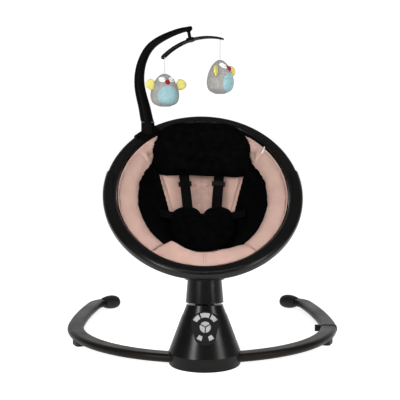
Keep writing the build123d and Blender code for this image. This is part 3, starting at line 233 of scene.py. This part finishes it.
# Drive inside the housing: plated steel shaft, pins, screws and motor can; natural nylon gears, bushes and carrier.
# Nothing of it shows while the shells are closed.
plated_steel = surface("plated_steel", 0.32)
plated_steel.node_tree.nodes["Principled BSDF"].inputs["Metallic"].default_value = 1.0
shade_between(plated_steel, (0.42, 0.42, 0.43), (0.56, 0.56, 0.57), 50.0)
rub(plated_steel, 0.25, 0.4, 120.0)
dress(plated_steel, "swing_shaft", "cross_pin", "base_screws", "bracket_bolts", "drive_motor")
natural_nylon = surface("natural_nylon", 0.45)
shade_between(natural_nylon, (0.66, 0.63, 0.56), (0.76, 0.74, 0.67), 40.0)
raise_by(natural_nylon, cloud(natural_nylon, 2000.0, 2.0), 0.00005)
dress(natural_nylon, "bearing_carrier", "shaft_bushes", "motor_pinion", "drive_gear")
board_green = surface("board_green", 0.35)
shade_between(board_green, (0.012, 0.10, 0.035), (0.02, 0.15, 0.05), 220.0)
dress(board_green, "circuit_board")

# Mobile's arm, its socket on the rim and the slotted bar: the same black moulding, a little more matt.
# The arm plugs into the socket and the bar's stem turns in the arm's tip.
arm_black = surface("arm_black", 0.42, 0.03)
shade_between(arm_black, (0.0014, 0.0013, 0.0012), (0.0026, 0.0024, 0.0022), 12.0)
rub(arm_black, 0.36, 0.48, 18.0)
raise_by(arm_black, cloud(arm_black, 1800.0, 2.0), 0.00005)
dress(arm_black, "arm_socket", "mobile_arm", "mobile_bar")

# Mobile's strings: thin white polyester cords, tied under the ends of the bar and sewn into the birds' heads.
# Each hangs straight under its bird's weight, with a small knot at the bar.
string_white = surface("string_white", 0.7, 0.3)
shade_between(string_white, (0.26, 0.26, 0.255), (0.36, 0.36, 0.355), 900.0)
raise_by(string_white, cloud(string_white, 2600.0, 2.0), 0.0002)


def hung_string(side, top, length):
    """String from the bar down to a bird's head, as a smooth curve."""
    line = bpy.data.curves.new(f"{side}_string", "CURVE")
    line.dimensions = "3D"
    line.bevel_depth = 0.0007
    line.bevel_resolution = 3
    line.use_fill_caps = True
    run = line.splines.new("NURBS")
    run.points.add(3)
    for point, share in zip(run.points, (0.0, 0.3, 0.7, 1.0)):
        point.co = (top[0], top[1], top[2] - length * share, 1.0)
    run.order_u = 3
    run.use_endpoint_u = True
    string = bpy.data.objects.new(f"{side}_string", line)
    scene.collection.objects.link(string)
    line.materials.append(string_white)
    knot = bmesh.new()
    bmesh.ops.create_icosphere(knot, subdivisions=2, radius=0.0013)
    for corner in knot.verts:
        twist = math.atan2(corner.co.y, corner.co.x)
        corner.co *= 1.0 + 0.2 * math.sin(3.0 * twist + 1700.0 * corner.co.z)
        corner.co += Vector(top) - Vector((0.0, 0.0, 0.0012))
    tied = add_piece(f"{side}_knot", knot)
    tied.data.materials.append(string_white)
    for piece in (string, tied):
        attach(piece, f"{side}_toy")
    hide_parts(f"{side}_toy_string")


hung_string("left", (-0.09106, 0.29971, 0.67949), 0.038)
hung_string("right", (0.04161, 0.23558, 0.71678), 0.046)

# Sling: the rose cloth bowl, sewn from eight gores and hung inside the rim by its bound top edge.
# Plain-woven polyester, stretched in the rim and drawn in a little along the seams.
ring_tilt = math.radians(35.0)
ring_frame = Matrix((
    (1.0, 0.0, 0.0, 0.0),
    (0.0, math.cos(ring_tilt), -math.sin(ring_tilt), 0.2015),
    (0.0, math.sin(ring_tilt), math.cos(ring_tilt), 0.3635),
    (0.0, 0.0, 0.0, 1.0),
))
to_ring = ring_frame.inverted()


def weave(material, pitch, coords="Object", tilt=-ring_tilt):
    """Height of a plain weave, threads going over and under at a pitch."""
    tree = material.node_tree
    where = tree.nodes.new("ShaderNodeTexCoord")
    facing = tree.nodes.new("ShaderNodeMapping")
    facing.inputs["Rotation"].default_value = (tilt, 0.0, 0.0)
    tree.links.new(where.outputs[coords], facing.inputs["Vector"])
    over = tree.nodes.new("ShaderNodeMath")
    over.operation = "SUBTRACT"
    for way, socket in zip(("X", "Y"), over.inputs):
        threads = tree.nodes.new("ShaderNodeTexWave")
        threads.bands_direction = way
        threads.inputs["Scale"].default_value = 0.314 / pitch
        threads.inputs["Distortion"].default_value = 0.6
        tree.links.new(facing.outputs["Vector"], threads.inputs["Vector"])
        tree.links.new(threads.outputs["Fac"], socket)
    crossing = tree.nodes.new("ShaderNodeMath")
    crossing.operation = "ABSOLUTE"
    tree.links.new(over.outputs["Value"], crossing.inputs[0])
    return crossing.outputs["Value"]


def sheen(material, weight, roughness):
    """Soft light along the edges of a fibrous surface."""
    shader = material.node_tree.nodes["Principled BSDF"]
    shader.inputs["Sheen Weight"].default_value = weight
    shader.inputs["Sheen Roughness"].default_value = roughness


rose_cloth = surface("rose_cloth", 0.85, 0.2)
shade_between(rose_cloth, (0.44, 0.284, 0.239), (0.505, 0.332, 0.279), 22.0)
sheen(rose_cloth, 0.08, 0.5)
raise_by(rose_cloth, cloud(rose_cloth, 34.0, 3.0), 0.0035, 0.6)
raise_by(rose_cloth, weave(rose_cloth, 0.0009), 0.00022)


def solid_tree(piece):
    """Search tree over an object's mesh, for finding its surface."""
    mesh = piece.data
    places = [point.co for point in mesh.vertices]
    return BVHTree.FromPolygons(places, [face.vertices for face in mesh.polygons])


def smooth_shade(piece):
    """Shade all of a piece's faces smoothly."""
    for face in piece.data.polygons:
        face.use_smooth = True


sling_levels = (
    (-0.003, 0.2035, 0.2635, 0.0),
    (-0.006, 0.2025, 0.2625, 0.0005),
    (-0.013, 0.197, 0.256, 0.002),
    (-0.025, 0.184, 0.240, 0.005),
    (-0.038, 0.172, 0.220, 0.008),
    (-0.051, 0.162, 0.208, 0.008),
    (-0.064, 0.150, 0.194, 0.007),
    (-0.077, 0.138, 0.178, 0.004),
    (-0.087, 0.128, 0.163, -0.003),
    (-0.097, 0.117, 0.144, -0.010),
    (-0.106, 0.106, 0.125, -0.016),
    (-0.115, 0.092, 0.104, -0.026),
    (-0.123, 0.078, 0.084, -0.037),
    (-0.1305, 0.060, 0.063, -0.045),
    (-0.1305, 0.036, 0.040, -0.045),
    (-0.1305, 0.014, 0.016, -0.045),
)
sling_columns = 96
lining_room = 0.0016
seam_pull = 0.0012
sling = bmesh.new()
sling_outside = solid_tree(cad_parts["seat_sling"])
sling_loops = []
for depth, half_width, half_length, shift in sling_levels:
    middle = Matrix.Translation((0.0, shift, depth))
    at = ring_frame @ middle @ Matrix.Diagonal((half_width, half_length, 1.0, 1.0))
    sling_loops.append(bmesh.ops.create_circle(sling, segments=sling_columns, radius=1.0, matrix=at)["verts"])
for upper, lower in zip(sling_loops, sling_loops[1:]):
    for column in range(sling_columns):
        after = (column + 1) % sling_columns
        sling.faces.new((upper[column], upper[after], lower[after], lower[column]))
sling.faces.new(sling_loops[-1])
bmesh.ops.recalc_face_normals(sling, faces=sling.faces)
ring_middle = ring_frame.translation
for level, loop in enumerate(sling_loops):
    for corner in loop:
        corner.co = sling_outside.find_nearest(corner.co)[0]
        if level > 3:
            corner.co += (corner.co - ring_middle).normalized() * lining_room
sling.normal_update()
for loop in sling_loops[1:-3]:
    for column, corner in enumerate(loop):
        if column % 12 == 6:
            corner.co -= corner.normal * seam_pull
bmesh.ops.solidify(sling, geom=sling.faces[:], thickness=0.0022)
bmesh.ops.recalc_face_normals(sling, faces=sling.faces)
seat_bowl = add_piece("seat_bowl", sling)
smooth_shade(seat_bowl)
seat_bowl.data.materials.append(rose_cloth)
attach(seat_bowl, "seat")
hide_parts("seat_sling")

# Padded bands round the inside of the rim: two side bands and the front band, wadding under the same rose cloth.
# Sewn to the sling's top edge, they meet in seams and are puckered where the thread pulls them in.
ring_half_width, ring_half_length = 0.203, 0.263
stuffing_pressure, stuffing_frames = 4.0, 20


def settle(piece):
    """Keep what a piece's modifiers have made of it, and drop the modifiers."""
    made = bpy.data.meshes.new_from_object(piece.evaluated_get(bpy.context.evaluated_depsgraph_get()))
    piece.modifiers.clear()
    piece.data = made


def stuffed(name, node, voxel, draw_in, swell, smooth=2):
    """Stuffed form of a CAD solid: drawn in, remeshed, blown up as cloth, its swell held, then smoothed."""
    shape = bmesh.new()
    shape.from_mesh(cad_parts[node].data)
    bmesh.ops.remove_doubles(shape, verts=shape.verts, dist=0.00001)
    piece = add_piece(name, shape)
    piece.data.materials.clear()
    remesh = piece.modifiers.new("remesh", "REMESH")
    remesh.mode = "VOXEL"
    remesh.voxel_size = voxel
    settle(piece)
    start = [point.co - point.normal * draw_in for point in piece.data.vertices]
    for point, place in zip(piece.data.vertices, start):
        point.co = place
    cloth = piece.modifiers.new("cloth", "CLOTH")
    cloth.settings.use_pressure = True
    cloth.settings.uniform_pressure_force = stuffing_pressure
    cloth.settings.effector_weights.gravity = 0.0
    for count in range(1, stuffing_frames + 1):
        scene.frame_set(count)
    settle(piece)
    scene.frame_set(1)
    for point, origin in zip(piece.data.vertices, start):
        move = point.co - origin
        if move.length > swell:
            point.co = origin + move * (swell / move.length)
    shape = bmesh.new()
    shape.from_mesh(piece.data)
    for count in range(smooth):
        bmesh.ops.smooth_vert(
            shape, verts=shape.verts, factor=0.5, use_axis_x=True, use_axis_y=True, use_axis_z=True
        )
    shape.to_mesh(piece.data)
    shape.free()
    smooth_shade(piece)
    return piece


def finer(piece):
    """One level of subdivision over a soft form."""
    level = piece.modifiers.new("finer", "SUBSURF")
    level.levels = 1
    level.render_levels = 1


def padded_piece(piece, node, material, body):
    """Give a stuffed piece its material, attach it to the body that it rides on and hide the CAD part that it
    stands for.
    """
    piece.data.materials.append(material)
    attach(piece, body)
    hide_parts(node)


def smooth_step(low, high, value):
    """Share from 0 to 1 of the way from low to high, eased at both ends."""
    share = min(max((value - low) / (high - low), 0.0), 1.0)
    return share * share * (3.0 - 2.0 * share)


def on_ring(reach, angle, rise, side=1.0):
    """Place at a reach and an angle round the ring's middle, and a rise from its plane."""
    across = side * ring_half_width * reach * math.cos(angle)
    return ring_frame @ Vector((across, ring_half_length * reach * math.sin(angle), rise))


def upper_seam(reach):
    """Angle in degrees of the seam between a side band and the head facing, at a reach from the ring's middle."""
    return 33.5 + 22.0 * (reach - 0.8)


def shape_band(piece, lift, inset):
    """Take a band's edges out to the rim and in over the lining, pucker it, lift and draw back its inner edge
    by amounts given by angle, and sink the slanting seam near its upper end."""
    piece.data.transform(to_ring)
    outermost = max(
        math.hypot(point.co.x / ring_half_width, point.co.y / ring_half_length) for point in piece.data.vertices
    )
    for point in piece.data.vertices:
        across, along = point.co.x / ring_half_width, point.co.y / ring_half_length
        reach = math.hypot(across, along)
        angle = math.atan2(along, across)
        at_front = smooth_step(0.75, 0.95, -along / reach)
        wider = 1.0 + (1.0 - outermost) * smooth_step(0.79, 0.945, reach) / reach
        wider -= 0.022 * (1.0 - at_front) * (1.0 - smooth_step(0.77, 0.86, reach))
        pucker = 0.6 * math.sin(31.0 * angle) + 0.5 * math.sin(53.0 * angle + 1.3)
        pucker += 0.4 * math.sin(83.0 * angle)
        edge = max(smooth_step(0.88, 0.95, reach), 1.0 - smooth_step(0.79, 0.86, reach))
        wider += inset(angle) * max(0.955 - reach, 0.0) / reach
        point.co.x *= wider
        point.co.y *= wider
        point.co.z += 0.0009 * pucker * edge
        point.co.z += lift(angle) * (1.0 - smooth_step(0.77, 0.9, reach))
        aside = math.degrees(math.atan2(along, abs(across))) - upper_seam(reach)
        point.co.z -= 0.0035 * math.exp(-(aside / 1.2) ** 2)
    piece.data.transform(ring_frame)


def front_lift(angle):
    """The front band's inner edge stands up under the harness pad and in a hump on its left,
    and lies lower on its right."""
    across = math.degrees(angle) + 90.0
    hump = 0.008 * math.exp(-((across + 22.0) / 8.0) ** 2)
    fall = 0.014 * smooth_step(10.0, 26.0, across) + 0.014 * smooth_step(25.0, 34.0, -across)
    return 0.017 + hump - fall


def front_inset(angle):
    """The front band narrows towards its end seams."""
    across = math.degrees(angle) + 90.0
    return 0.5 * smooth_step(25.0, 35.0, -across) + 0.3 * smooth_step(25.0, 35.0, across)


def side_inset(angle):
    """A side band narrows behind the pillow, above its upper seam."""
    aside = math.degrees(math.atan2(math.sin(angle), abs(math.cos(angle))))
    return 0.7 * smooth_step(33.5, 44.0, aside)


side_pads = stuffed("side_pads", "side_bands", 0.005, 0.0015, 0.005)
shape_band(side_pads, lambda angle: 0.0, side_inset)
front_pad = stuffed("front_pad", "front_band", 0.005, 0.0015, 0.006)
shape_band(front_pad, front_lift, front_inset)
for pad, node in ((side_pads, "side_bands"), (front_pad, "front_band")):
    finer(pad)
    padded_piece(pad, node, rose_cloth, "seat")

# Edge binding: a soft black tape folded over the sling's top edge, between the bands and the rim.
# It is wider at the sides and narrower at the front, where the front band reaches the rim.
binding_black = surface("binding_black", 0.8, 0.05)
shade_between(binding_black, (0.0018, 0.0018, 0.0018), (0.0034, 0.0033, 0.0032), 120.0)
raise_by(binding_black, weave(binding_black, 0.0012), 0.0002)
binding = bmesh.new()
binding_turns, binding_corners = 144, 10
binding_loops = []
for turn in range(binding_turns):
    angle = 2.0 * math.pi * turn / binding_turns
    inner = 0.984 + 0.004 * smooth_step(0.75, 0.95, -math.sin(angle))
    middle, half = (0.9985 + inner) / 2.0, (0.9985 - inner) / 2.0
    loop = []
    for corner in range(binding_corners):
        way = 2.0 * math.pi * corner / binding_corners
        reach = middle + half * math.cos(way)
        loop.append(binding.verts.new(on_ring(reach, angle, 0.0028 * math.sin(way) - 0.0006)))
    binding_loops.append(loop)
for turn in range(binding_turns):
    here, there = binding_loops[turn], binding_loops[(turn + 1) % binding_turns]
    for corner in range(binding_corners):
        after = (corner + 1) % binding_corners
        binding.faces.new((here[corner], here[after], there[after], there[corner]))
bmesh.ops.recalc_face_normals(binding, faces=binding.faces)
edge_binding = add_piece("edge_binding", binding)
smooth_shade(edge_binding)
edge_binding.data.materials.append(binding_black)
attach(edge_binding, "seat")

# Head facings: a flap of the rose cloth on each side that runs from a band's upper seam up behind the pillow.
# Thin wadding, narrowing towards the top under the rim.
facings = bmesh.new()
for side in (1.0, -1.0):
    rows = []
    for step in range(25):
        share = step / 24.0
        angle = math.radians(46.4 + 26.0 * share)
        outer, inner = 0.985, 0.905 + 0.05 * share
        row = []
        for across in range(9):
            aside = across / 8.0
            reach = outer + (inner - outer) * aside
            crown = 0.0045 * math.sin(math.pi * aside) * (1.0 - 0.6 * share)
            drop = -0.002 - 0.02 * (outer - reach) / 0.165 + crown
            row.append(facings.verts.new(on_ring(reach, angle, drop, side)))
        rows.append(row)
    for here, there in zip(rows, rows[1:]):
        for across in range(8):
            facings.faces.new((here[across], here[across + 1], there[across + 1], there[across]))
bmesh.ops.recalc_face_normals(facings, faces=facings.faces)
bmesh.ops.solidify(facings, geom=facings.faces[:], thickness=0.0015)
bmesh.ops.recalc_face_normals(facings, faces=facings.faces)
head_facings = add_piece("head_facings", facings)
smooth_shade(head_facings)
head_facings.data.materials.append(rose_cloth)
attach(head_facings, "seat")

# Woven tag: a blank white ribbon of plain-woven polyester, folded once.
# Its two ends are caught in the right band's upper seam, and the fold stands free.
tag_white = surface("tag_white", 0.6, 0.3)
shade_between(tag_white, (0.68, 0.67, 0.66), (0.80, 0.79, 0.78), 300.0)
raise_by(tag_white, weave(tag_white, 0.0005), 0.0001)
tag = bmesh.new()
tag_rows = []
for step in range(9):
    reach = 0.865 + 0.115 * step / 8.0
    row = []
    for turn in range(13):
        way = math.pi * turn / 12.0
        angle = math.radians(upper_seam(reach)) + 0.003 * math.cos(way) + 0.008 * math.sin(way)
        lift = 0.0075 * math.sin(way) ** 0.6 - 0.024 * (0.985 - reach) / 0.195 + 0.003
        row.append(tag.verts.new(on_ring(reach, angle, lift)))
    tag_rows.append(row)
for here, there in zip(tag_rows, tag_rows[1:]):
    for turn in range(12):
        tag.faces.new((here[turn], here[turn + 1], there[turn + 1], there[turn]))
bmesh.ops.recalc_face_normals(tag, faces=tag.faces)
bmesh.ops.solidify(tag, geom=tag.faces[:], thickness=0.0003)
bmesh.ops.recalc_face_normals(tag, faces=tag.faces)
woven_tag = add_piece("woven_tag", tag)
smooth_shade(woven_tag)
woven_tag.data.materials.append(tag_white)
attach(woven_tag, "seat")

# Seat lining: a rose middle panel between two dark velvet side panels, thin wadding quilted to the sling.
# The middle panel has a double-stitched seam down its centre.
black_velvet = surface("black_velvet", 0.95, 0.0)
shade_between(black_velvet, (0.0009, 0.0009, 0.001), (0.0022, 0.0022, 0.0023), 60.0)
sheen(black_velvet, 0.006, 0.4)
raise_by(black_velvet, cloud(black_velvet, 50.0, 3.0), 0.002, 0.5)
raise_by(black_velvet, cloud(black_velvet, 2600.0, 2.0), 0.0003)
middle_pad = stuffed("middle_pad", "seat_panel", 0.004, 0.0008, 0.003)
side_linings = stuffed("side_linings", "side_panels", 0.004, 0.0008, 0.003)
finer(middle_pad)
finer(side_linings)
padded_piece(middle_pad, "seat_panel", rose_cloth, "seat")
padded_piece(side_linings, "side_panels", black_velvet, "seat")

rose_thread = surface("rose_thread", 0.7, 0.3)
shade_between(rose_thread, (0.20, 0.105, 0.08), (0.30, 0.165, 0.125), 700.0)
raise_by(rose_thread, cloud(rose_thread, 3000.0, 2.0), 0.0002)


def stitched(name, cloth, rows):
    """Rows of short stitches, each row a line of places in the ring's plane laid on a piece of cloth from above."""
    skin = solid_tree(cloth)
    downward = (ring_frame.to_3x3() @ Vector((0.0, 0.0, -1.0))).normalized()
    shape = bmesh.new()
    for first, last in rows:
        first, last = Vector(first), Vector(last)
        count = max(2, round((last - first).length / 0.0042))
        spots = []
        for step in range(count):
            flat = first.lerp(last, step / (count - 1))
            spots.append(skin.ray_cast(ring_frame @ Vector((flat.x, flat.y, 0.06)), downward))
        for here, there in zip(spots, spots[1:]):
            if here[0] is None or there[0] is None or (there[0] - here[0]).length > 0.012:
                continue
            along = (there[0] - here[0]).normalized()
            across = here[1].cross(along).normalized()
            rise = along.cross(across)
            turn = Matrix((along, across, rise)).transposed().to_4x4()
            size = Matrix.Diagonal(((there[0] - here[0]).length * 0.42, 0.0007, 0.0005, 1.0))
            at = Matrix.Translation((here[0] + there[0]) / 2.0 + rise * 0.0001)
            bmesh.ops.create_icosphere(shape, subdivisions=1, radius=1.0, matrix=at @ turn @ size)
    piece = add_piece(name, shape)
    smooth_shade(piece)
    piece.data.materials.append(rose_thread)
    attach(piece, "seat")


for name, cloth, aside, first, last in (
    ("middle_stitches", middle_pad, 0.0026, 0.02, 0.19),
    ("front_stitches", front_pad, 0.0028, -0.256, -0.2),
):
    stitched(name, cloth, (((-aside, first), (-aside, last)), ((aside, first), (aside, last))))

# Headrest pillow: a soft black velvet cushion that leans against the head end of the seat.
# It is loosely filled, so its lower edge dips in two lobes.


def read_off(table, level):
    """Value between the rows of a table."""
    for (low, first), (high, last) in zip(table, table[1:]):
        if level <= high:
            return first + (last - first) * max(level - low, 0.0) / (high - low)
    return table[-1][1]


def fill_out(piece, node, across, along):
    """Bring a stuffed piece's outline, which the stuffing has drawn in, back to a share of its CAD solid's."""
    solid = [to_ring @ point.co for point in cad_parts[node].data.vertices]
    piece.data.transform(to_ring)
    for axis, share in ((0, across), (1, along)):
        low, high = min(place[axis] for place in solid), max(place[axis] for place in solid)
        least = min(point.co[axis] for point in piece.data.vertices)
        most = max(point.co[axis] for point in piece.data.vertices)
        for point in piece.data.vertices:
            aside = (point.co[axis] - (least + most) / 2.0) * (high - low) / (most - least)
            point.co[axis] = (low + high) / 2.0 + aside * share
    piece.data.transform(ring_frame)


head_pillow = stuffed("head_pillow", "headrest_pillow", 0.005, 0.002, 0.008)
pillow_sides = ((0.0, 1.2), (0.074, 1.1), (0.173, 1.02), (0.296, 0.96), (0.494, 0.945), (0.667, 0.9), (0.79, 0.865),
                (0.84, 0.85), (0.914, 0.815), (1.0, 0.76))
fill_out(head_pillow, "headrest_pillow", 1.1, 1.06)
head_pillow.data.transform(to_ring)
pillow_low = min(point.co.y for point in head_pillow.data.vertices)
pillow_high = max(point.co.y for point in head_pillow.data.vertices)
for point in head_pillow.data.vertices:
    level = (point.co.y - pillow_low) / (pillow_high - pillow_low)
    lobe = 0.003 * math.cos(point.co.x / 0.02) + 0.008 * smooth_step(-0.04, 0.07, point.co.x)
    point.co.x *= read_off(pillow_sides, level)
    point.co.y -= lobe * (1.0 - smooth_step(0.0, 0.4, level))
head_pillow.data.transform(ring_frame)
finer(head_pillow)
padded_piece(head_pillow, "headrest_pillow", black_velvet, "seat")

# Harness: webbing straps over the shoulders, at the waist and between the legs, with a heart-shaped velvet pad.
# The straps come out through the lining and meet in the buckle under the pad.
strap_black = surface("strap_black", 0.7, 0.04)
shade_between(strap_black, (0.0016, 0.0016, 0.0017), (0.0030, 0.0030, 0.0032), 90.0)
raise_by(strap_black, weave(strap_black, 0.0011, "UV", 0.0), 0.0003)
strap_width, strap_thick = 0.025, 0.0016


def webbing(name, runs, arch, node):
    """Flat woven straps between places in the ring's plane, a little arched, with thick selvedges."""
    shape = bmesh.new()
    threads = shape.loops.layers.uv.new("UVMap")
    for first, last in runs:
        first, last = Vector(first), Vector(last)
        along = last - first
        across = Vector((0.0, 0.0, 1.0)).cross(along).normalized()
        rise = along.normalized().cross(across)
        if rise.z < 0.0:
            rise = -rise
        strip = bmesh.ops.create_grid(shape, x_segments=10, y_segments=36, size=0.5)["verts"]
        for corner in strip:
            aside, share = corner.co.x, corner.co.y + 0.5
            bow = arch * 4.0 * share * (1.0 - share)
            bead = 0.0003 * smooth_step(0.40, 0.47, abs(aside))
            place = first + along * share + across * (strap_width * aside) + rise * (bow + bead)
            corner.co = ring_frame @ place
            for loop in corner.link_loops:
                loop[threads].uv = (strap_width * aside, along.length * share)
    bmesh.ops.recalc_face_normals(shape, faces=shape.faces)
    bmesh.ops.solidify(shape, geom=shape.faces[:], thickness=strap_thick)
    bmesh.ops.recalc_face_normals(shape, faces=shape.faces)
    piece = add_piece(name, shape)
    smooth_shade(piece)
    piece.data.materials.append(strap_black)
    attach(piece, "seat")
    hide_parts(node)


def both_sides(first, last):
    """A run on the right and the same run on the left."""
    return ((first, last), ((-first[0], *first[1:]), (-last[0], *last[1:])))


webbing("shoulder_webs", both_sides((0.0445, 0.134, -0.0624), (0.0347, 0.026, -0.0918)), 0.002, "shoulder_straps")
webbing("waist_webs", both_sides((0.104, 0.004, -0.078), (0.058, 0.0023, -0.0882)), 0.0, "waist_straps")
webbing("crotch_web", (((0.0, -0.08, -0.1123), (0.0, -0.01, -0.1123)),), 0.0, "crotch_strap")
heart_pad = stuffed("heart_pad", "harness_pad", 0.004, 0.0015, 0.006)
fill_out(heart_pad, "harness_pad", 1.04, 1.05)
finer(heart_pad)
padded_piece(heart_pad, "harness_pad", black_velvet, "seat")

# Mobile's birds: stuffed grey plush bodies with felt wings, a pale blue belly, felt eyes and a red beak.
# Each is sewn from two halves and hangs from its string by the top of its head.
grey_plush = surface("grey_plush", 0.95, 0.15)
shade_between(grey_plush, (0.205, 0.2, 0.188), (0.27, 0.265, 0.25), 160.0)
sheen(grey_plush, 0.15, 0.5)
raise_by(grey_plush, cloud(grey_plush, 1100.0, 4.0), 0.0008)
blue_plush = surface("blue_plush", 0.95, 0.15)
shade_between(blue_plush, (0.18, 0.305, 0.33), (0.235, 0.365, 0.39), 200.0)
sheen(blue_plush, 0.15, 0.5)
raise_by(blue_plush, cloud(blue_plush, 1000.0, 4.0), 0.0008)
yellow_felt = surface("yellow_felt", 0.9, 0.2)
shade_between(yellow_felt, (0.45, 0.41, 0.10), (0.55, 0.50, 0.16), 220.0)
raise_by(yellow_felt, cloud(yellow_felt, 1500.0, 4.0), 0.0004)
white_felt = surface("white_felt", 0.9, 0.2)
shade_between(white_felt, (0.66, 0.66, 0.66), (0.80, 0.80, 0.80), 300.0)
raise_by(white_felt, cloud(white_felt, 1500.0, 4.0), 0.0003)
red_felt = surface("red_felt", 0.85, 0.25)
shade_between(red_felt, (0.18, 0.005, 0.014), (0.25, 0.009, 0.022), 260.0)
raise_by(red_felt, cloud(red_felt, 1500.0, 4.0), 0.0003)
lash_thread = surface("lash_thread", 0.8, 0.2)
shade_between(lash_thread, (0.02, 0.02, 0.022), (0.05, 0.05, 0.052), 900.0)


def sewn_patch(shape, skin, middle, across, up, half_width, half_height, puff):
    """Rounded patch laid on a skin from in front, sunk at its edge and puffed in its middle."""
    toward = across.cross(up)
    for corner in bmesh.ops.create_grid(shape, x_segments=18, y_segments=18, size=1.0)["verts"]:
        x, y = corner.co.x, corner.co.y
        x, y = x * math.sqrt(1.0 - y * y / 2.0), y * math.sqrt(1.0 - x * x / 2.0)
        start = middle + across * (x * half_width) + up * (y * half_height) + toward * 0.06
        found, normal = skin.ray_cast(start, -toward)[:2]
        if found is None:
            found, normal = skin.find_nearest(start)[:2]
        rise = 1.0 - min(math.hypot(x, y), 1.0) ** 4
        corner.co = found + normal * (puff * rise - 0.0003)


def felt_wing(shape, middle, out, up, half_length, half_height, thick):
    """Two rounded felt layers, sewn together round their edge, with the root against the body."""
    aside = out.cross(up)
    for layer in (1.0, -1.0):
        for corner in bmesh.ops.create_grid(shape, x_segments=16, y_segments=16, size=1.0)["verts"]:
            x, y = corner.co.x, corner.co.y
            x, y = x * math.sqrt(1.0 - y * y / 2.0), y * math.sqrt(1.0 - x * x / 2.0)
            rise = thick * math.sqrt(max(1.0 - x * x - y * y, 0.0))
            reach = x if x > 0.0 else 0.45 * x
            corner.co = middle + out * (reach * half_length) + up * (y * half_height) + aside * (layer * rise)
    bmesh.ops.remove_doubles(shape, verts=shape.verts, dist=0.00005)


bird_height = 0.083
eye_aside = 0.0118
bird_cut = ((0.0, 0.34), (0.06, 0.66), (0.2, 0.94), (0.36, 1.0), (0.54, 0.9), (0.72, 0.66), (0.88, 0.36),
            (1.0, 0.1))
bird_full = ((0.0, 0.40), (0.07, 0.72), (0.19, 0.96), (0.36, 1.02), (0.56, 0.93), (0.73, 0.78), (0.85, 0.6),
             (0.934, 0.42), (1.0, 0.16))


def bird(side, foot, turn, wing_angles):
    """One bird, from its foot point, the way that it faces and the ways that its wings point."""
    body = stuffed(f"{side}_bird", f"{side}_toy_body", 0.003, 0.001, 0.004, 1)
    for point in body.data.vertices:
        level = (point.co.z - foot[2]) / bird_height
        fuller = read_off(bird_full, level) / read_off(bird_cut, level)
        point.co.x = foot[0] + (point.co.x - foot[0]) * fuller
        point.co.y = foot[1] + (point.co.y - foot[1]) * fuller
    finer(body)
    padded_piece(body, f"{side}_toy_body", grey_plush, f"{side}_toy")
    skin = solid_tree(body)
    up = Vector((0.0, 0.0, 1.0))
    felt = bmesh.new()
    for angle in wing_angles:
        out = Vector((math.cos(math.radians(angle)), math.sin(math.radians(angle)), 0.0))
        start = Vector(foot) + Vector((0.0, 0.0, 0.0545)) + out * 0.1
        seat = skin.ray_cast(start, -out)[0]
        felt_wing(felt, seat + out * 0.0068, out, up, 0.017, 0.0135, 0.0042)
    bmesh.ops.recalc_face_normals(felt, faces=felt.faces)
    wings = add_piece(f"{side}_wings", felt)
    smooth_shade(wings)
    padded_piece(wings, f"{side}_toy_wings", yellow_felt, f"{side}_toy")
    facing = Matrix.Translation(foot) @ Matrix.Rotation(math.radians(turn), 4, "Z")
    way = facing.to_3x3() @ Vector((1.0, 0.0, 0.0))
    trims = (
        ("belly", blue_plush, "blue_plush", ((0.001, 0.0275, 0.0275, 0.0245, 0.0022),)),
        ("eyes", white_felt, "white_string", ((-eye_aside, 0.0665, 0.0078, 0.0068, 0.0011),
                                              (eye_aside, 0.0665, 0.0078, 0.0068, 0.0011))),
        ("beak", red_felt, "yellow_felt", ((0.0, 0.0595, 0.0064, 0.0062, 0.0055),)),
    )
    for name, material, slot, patches in trims:
        shape = bmesh.new()
        for x, z, half_width, half_height, puff in patches:
            sewn_patch(shape, skin, facing @ Vector((x, 0.0, z)), way, up, half_width, half_height, puff)
        bmesh.ops.recalc_face_normals(shape, faces=shape.faces)
        trim = add_piece(f"{side}_{name}", shape)
        smooth_shade(trim)
        trim.data.materials.append(material)
        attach(trim, f"{side}_toy")
        if name == "belly":
            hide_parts(f"{side}_toy_trim")
    lashes = bmesh.new()
    toward = way.cross(up)
    for x in (-eye_aside, eye_aside):
        for step in range(7):
            bend = (step - 3) / 3.0
            sag = 0.0022 * (1.0 - bend * bend)
            start = facing @ Vector((x + 0.0062 * bend, 0.0, 0.0662 - sag)) + toward * 0.06
            found, normal = skin.ray_cast(start, -toward)[:2]
            if found is None:
                continue
            at = Matrix.Translation(found + normal * 0.0011)
            bmesh.ops.create_icosphere(lashes, subdivisions=1, radius=0.0009, matrix=at)
    sewn = add_piece(f"{side}_lashes", lashes)
    sewn.data.materials.append(lash_thread)
    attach(sewn, f"{side}_toy")


bird("left", (-0.09106, 0.29971, 0.55849), 19.0, (3.0, 210.0))
bird("right", (0.04161, 0.23558, 0.58778), 60.0, (43.0, 253.0))
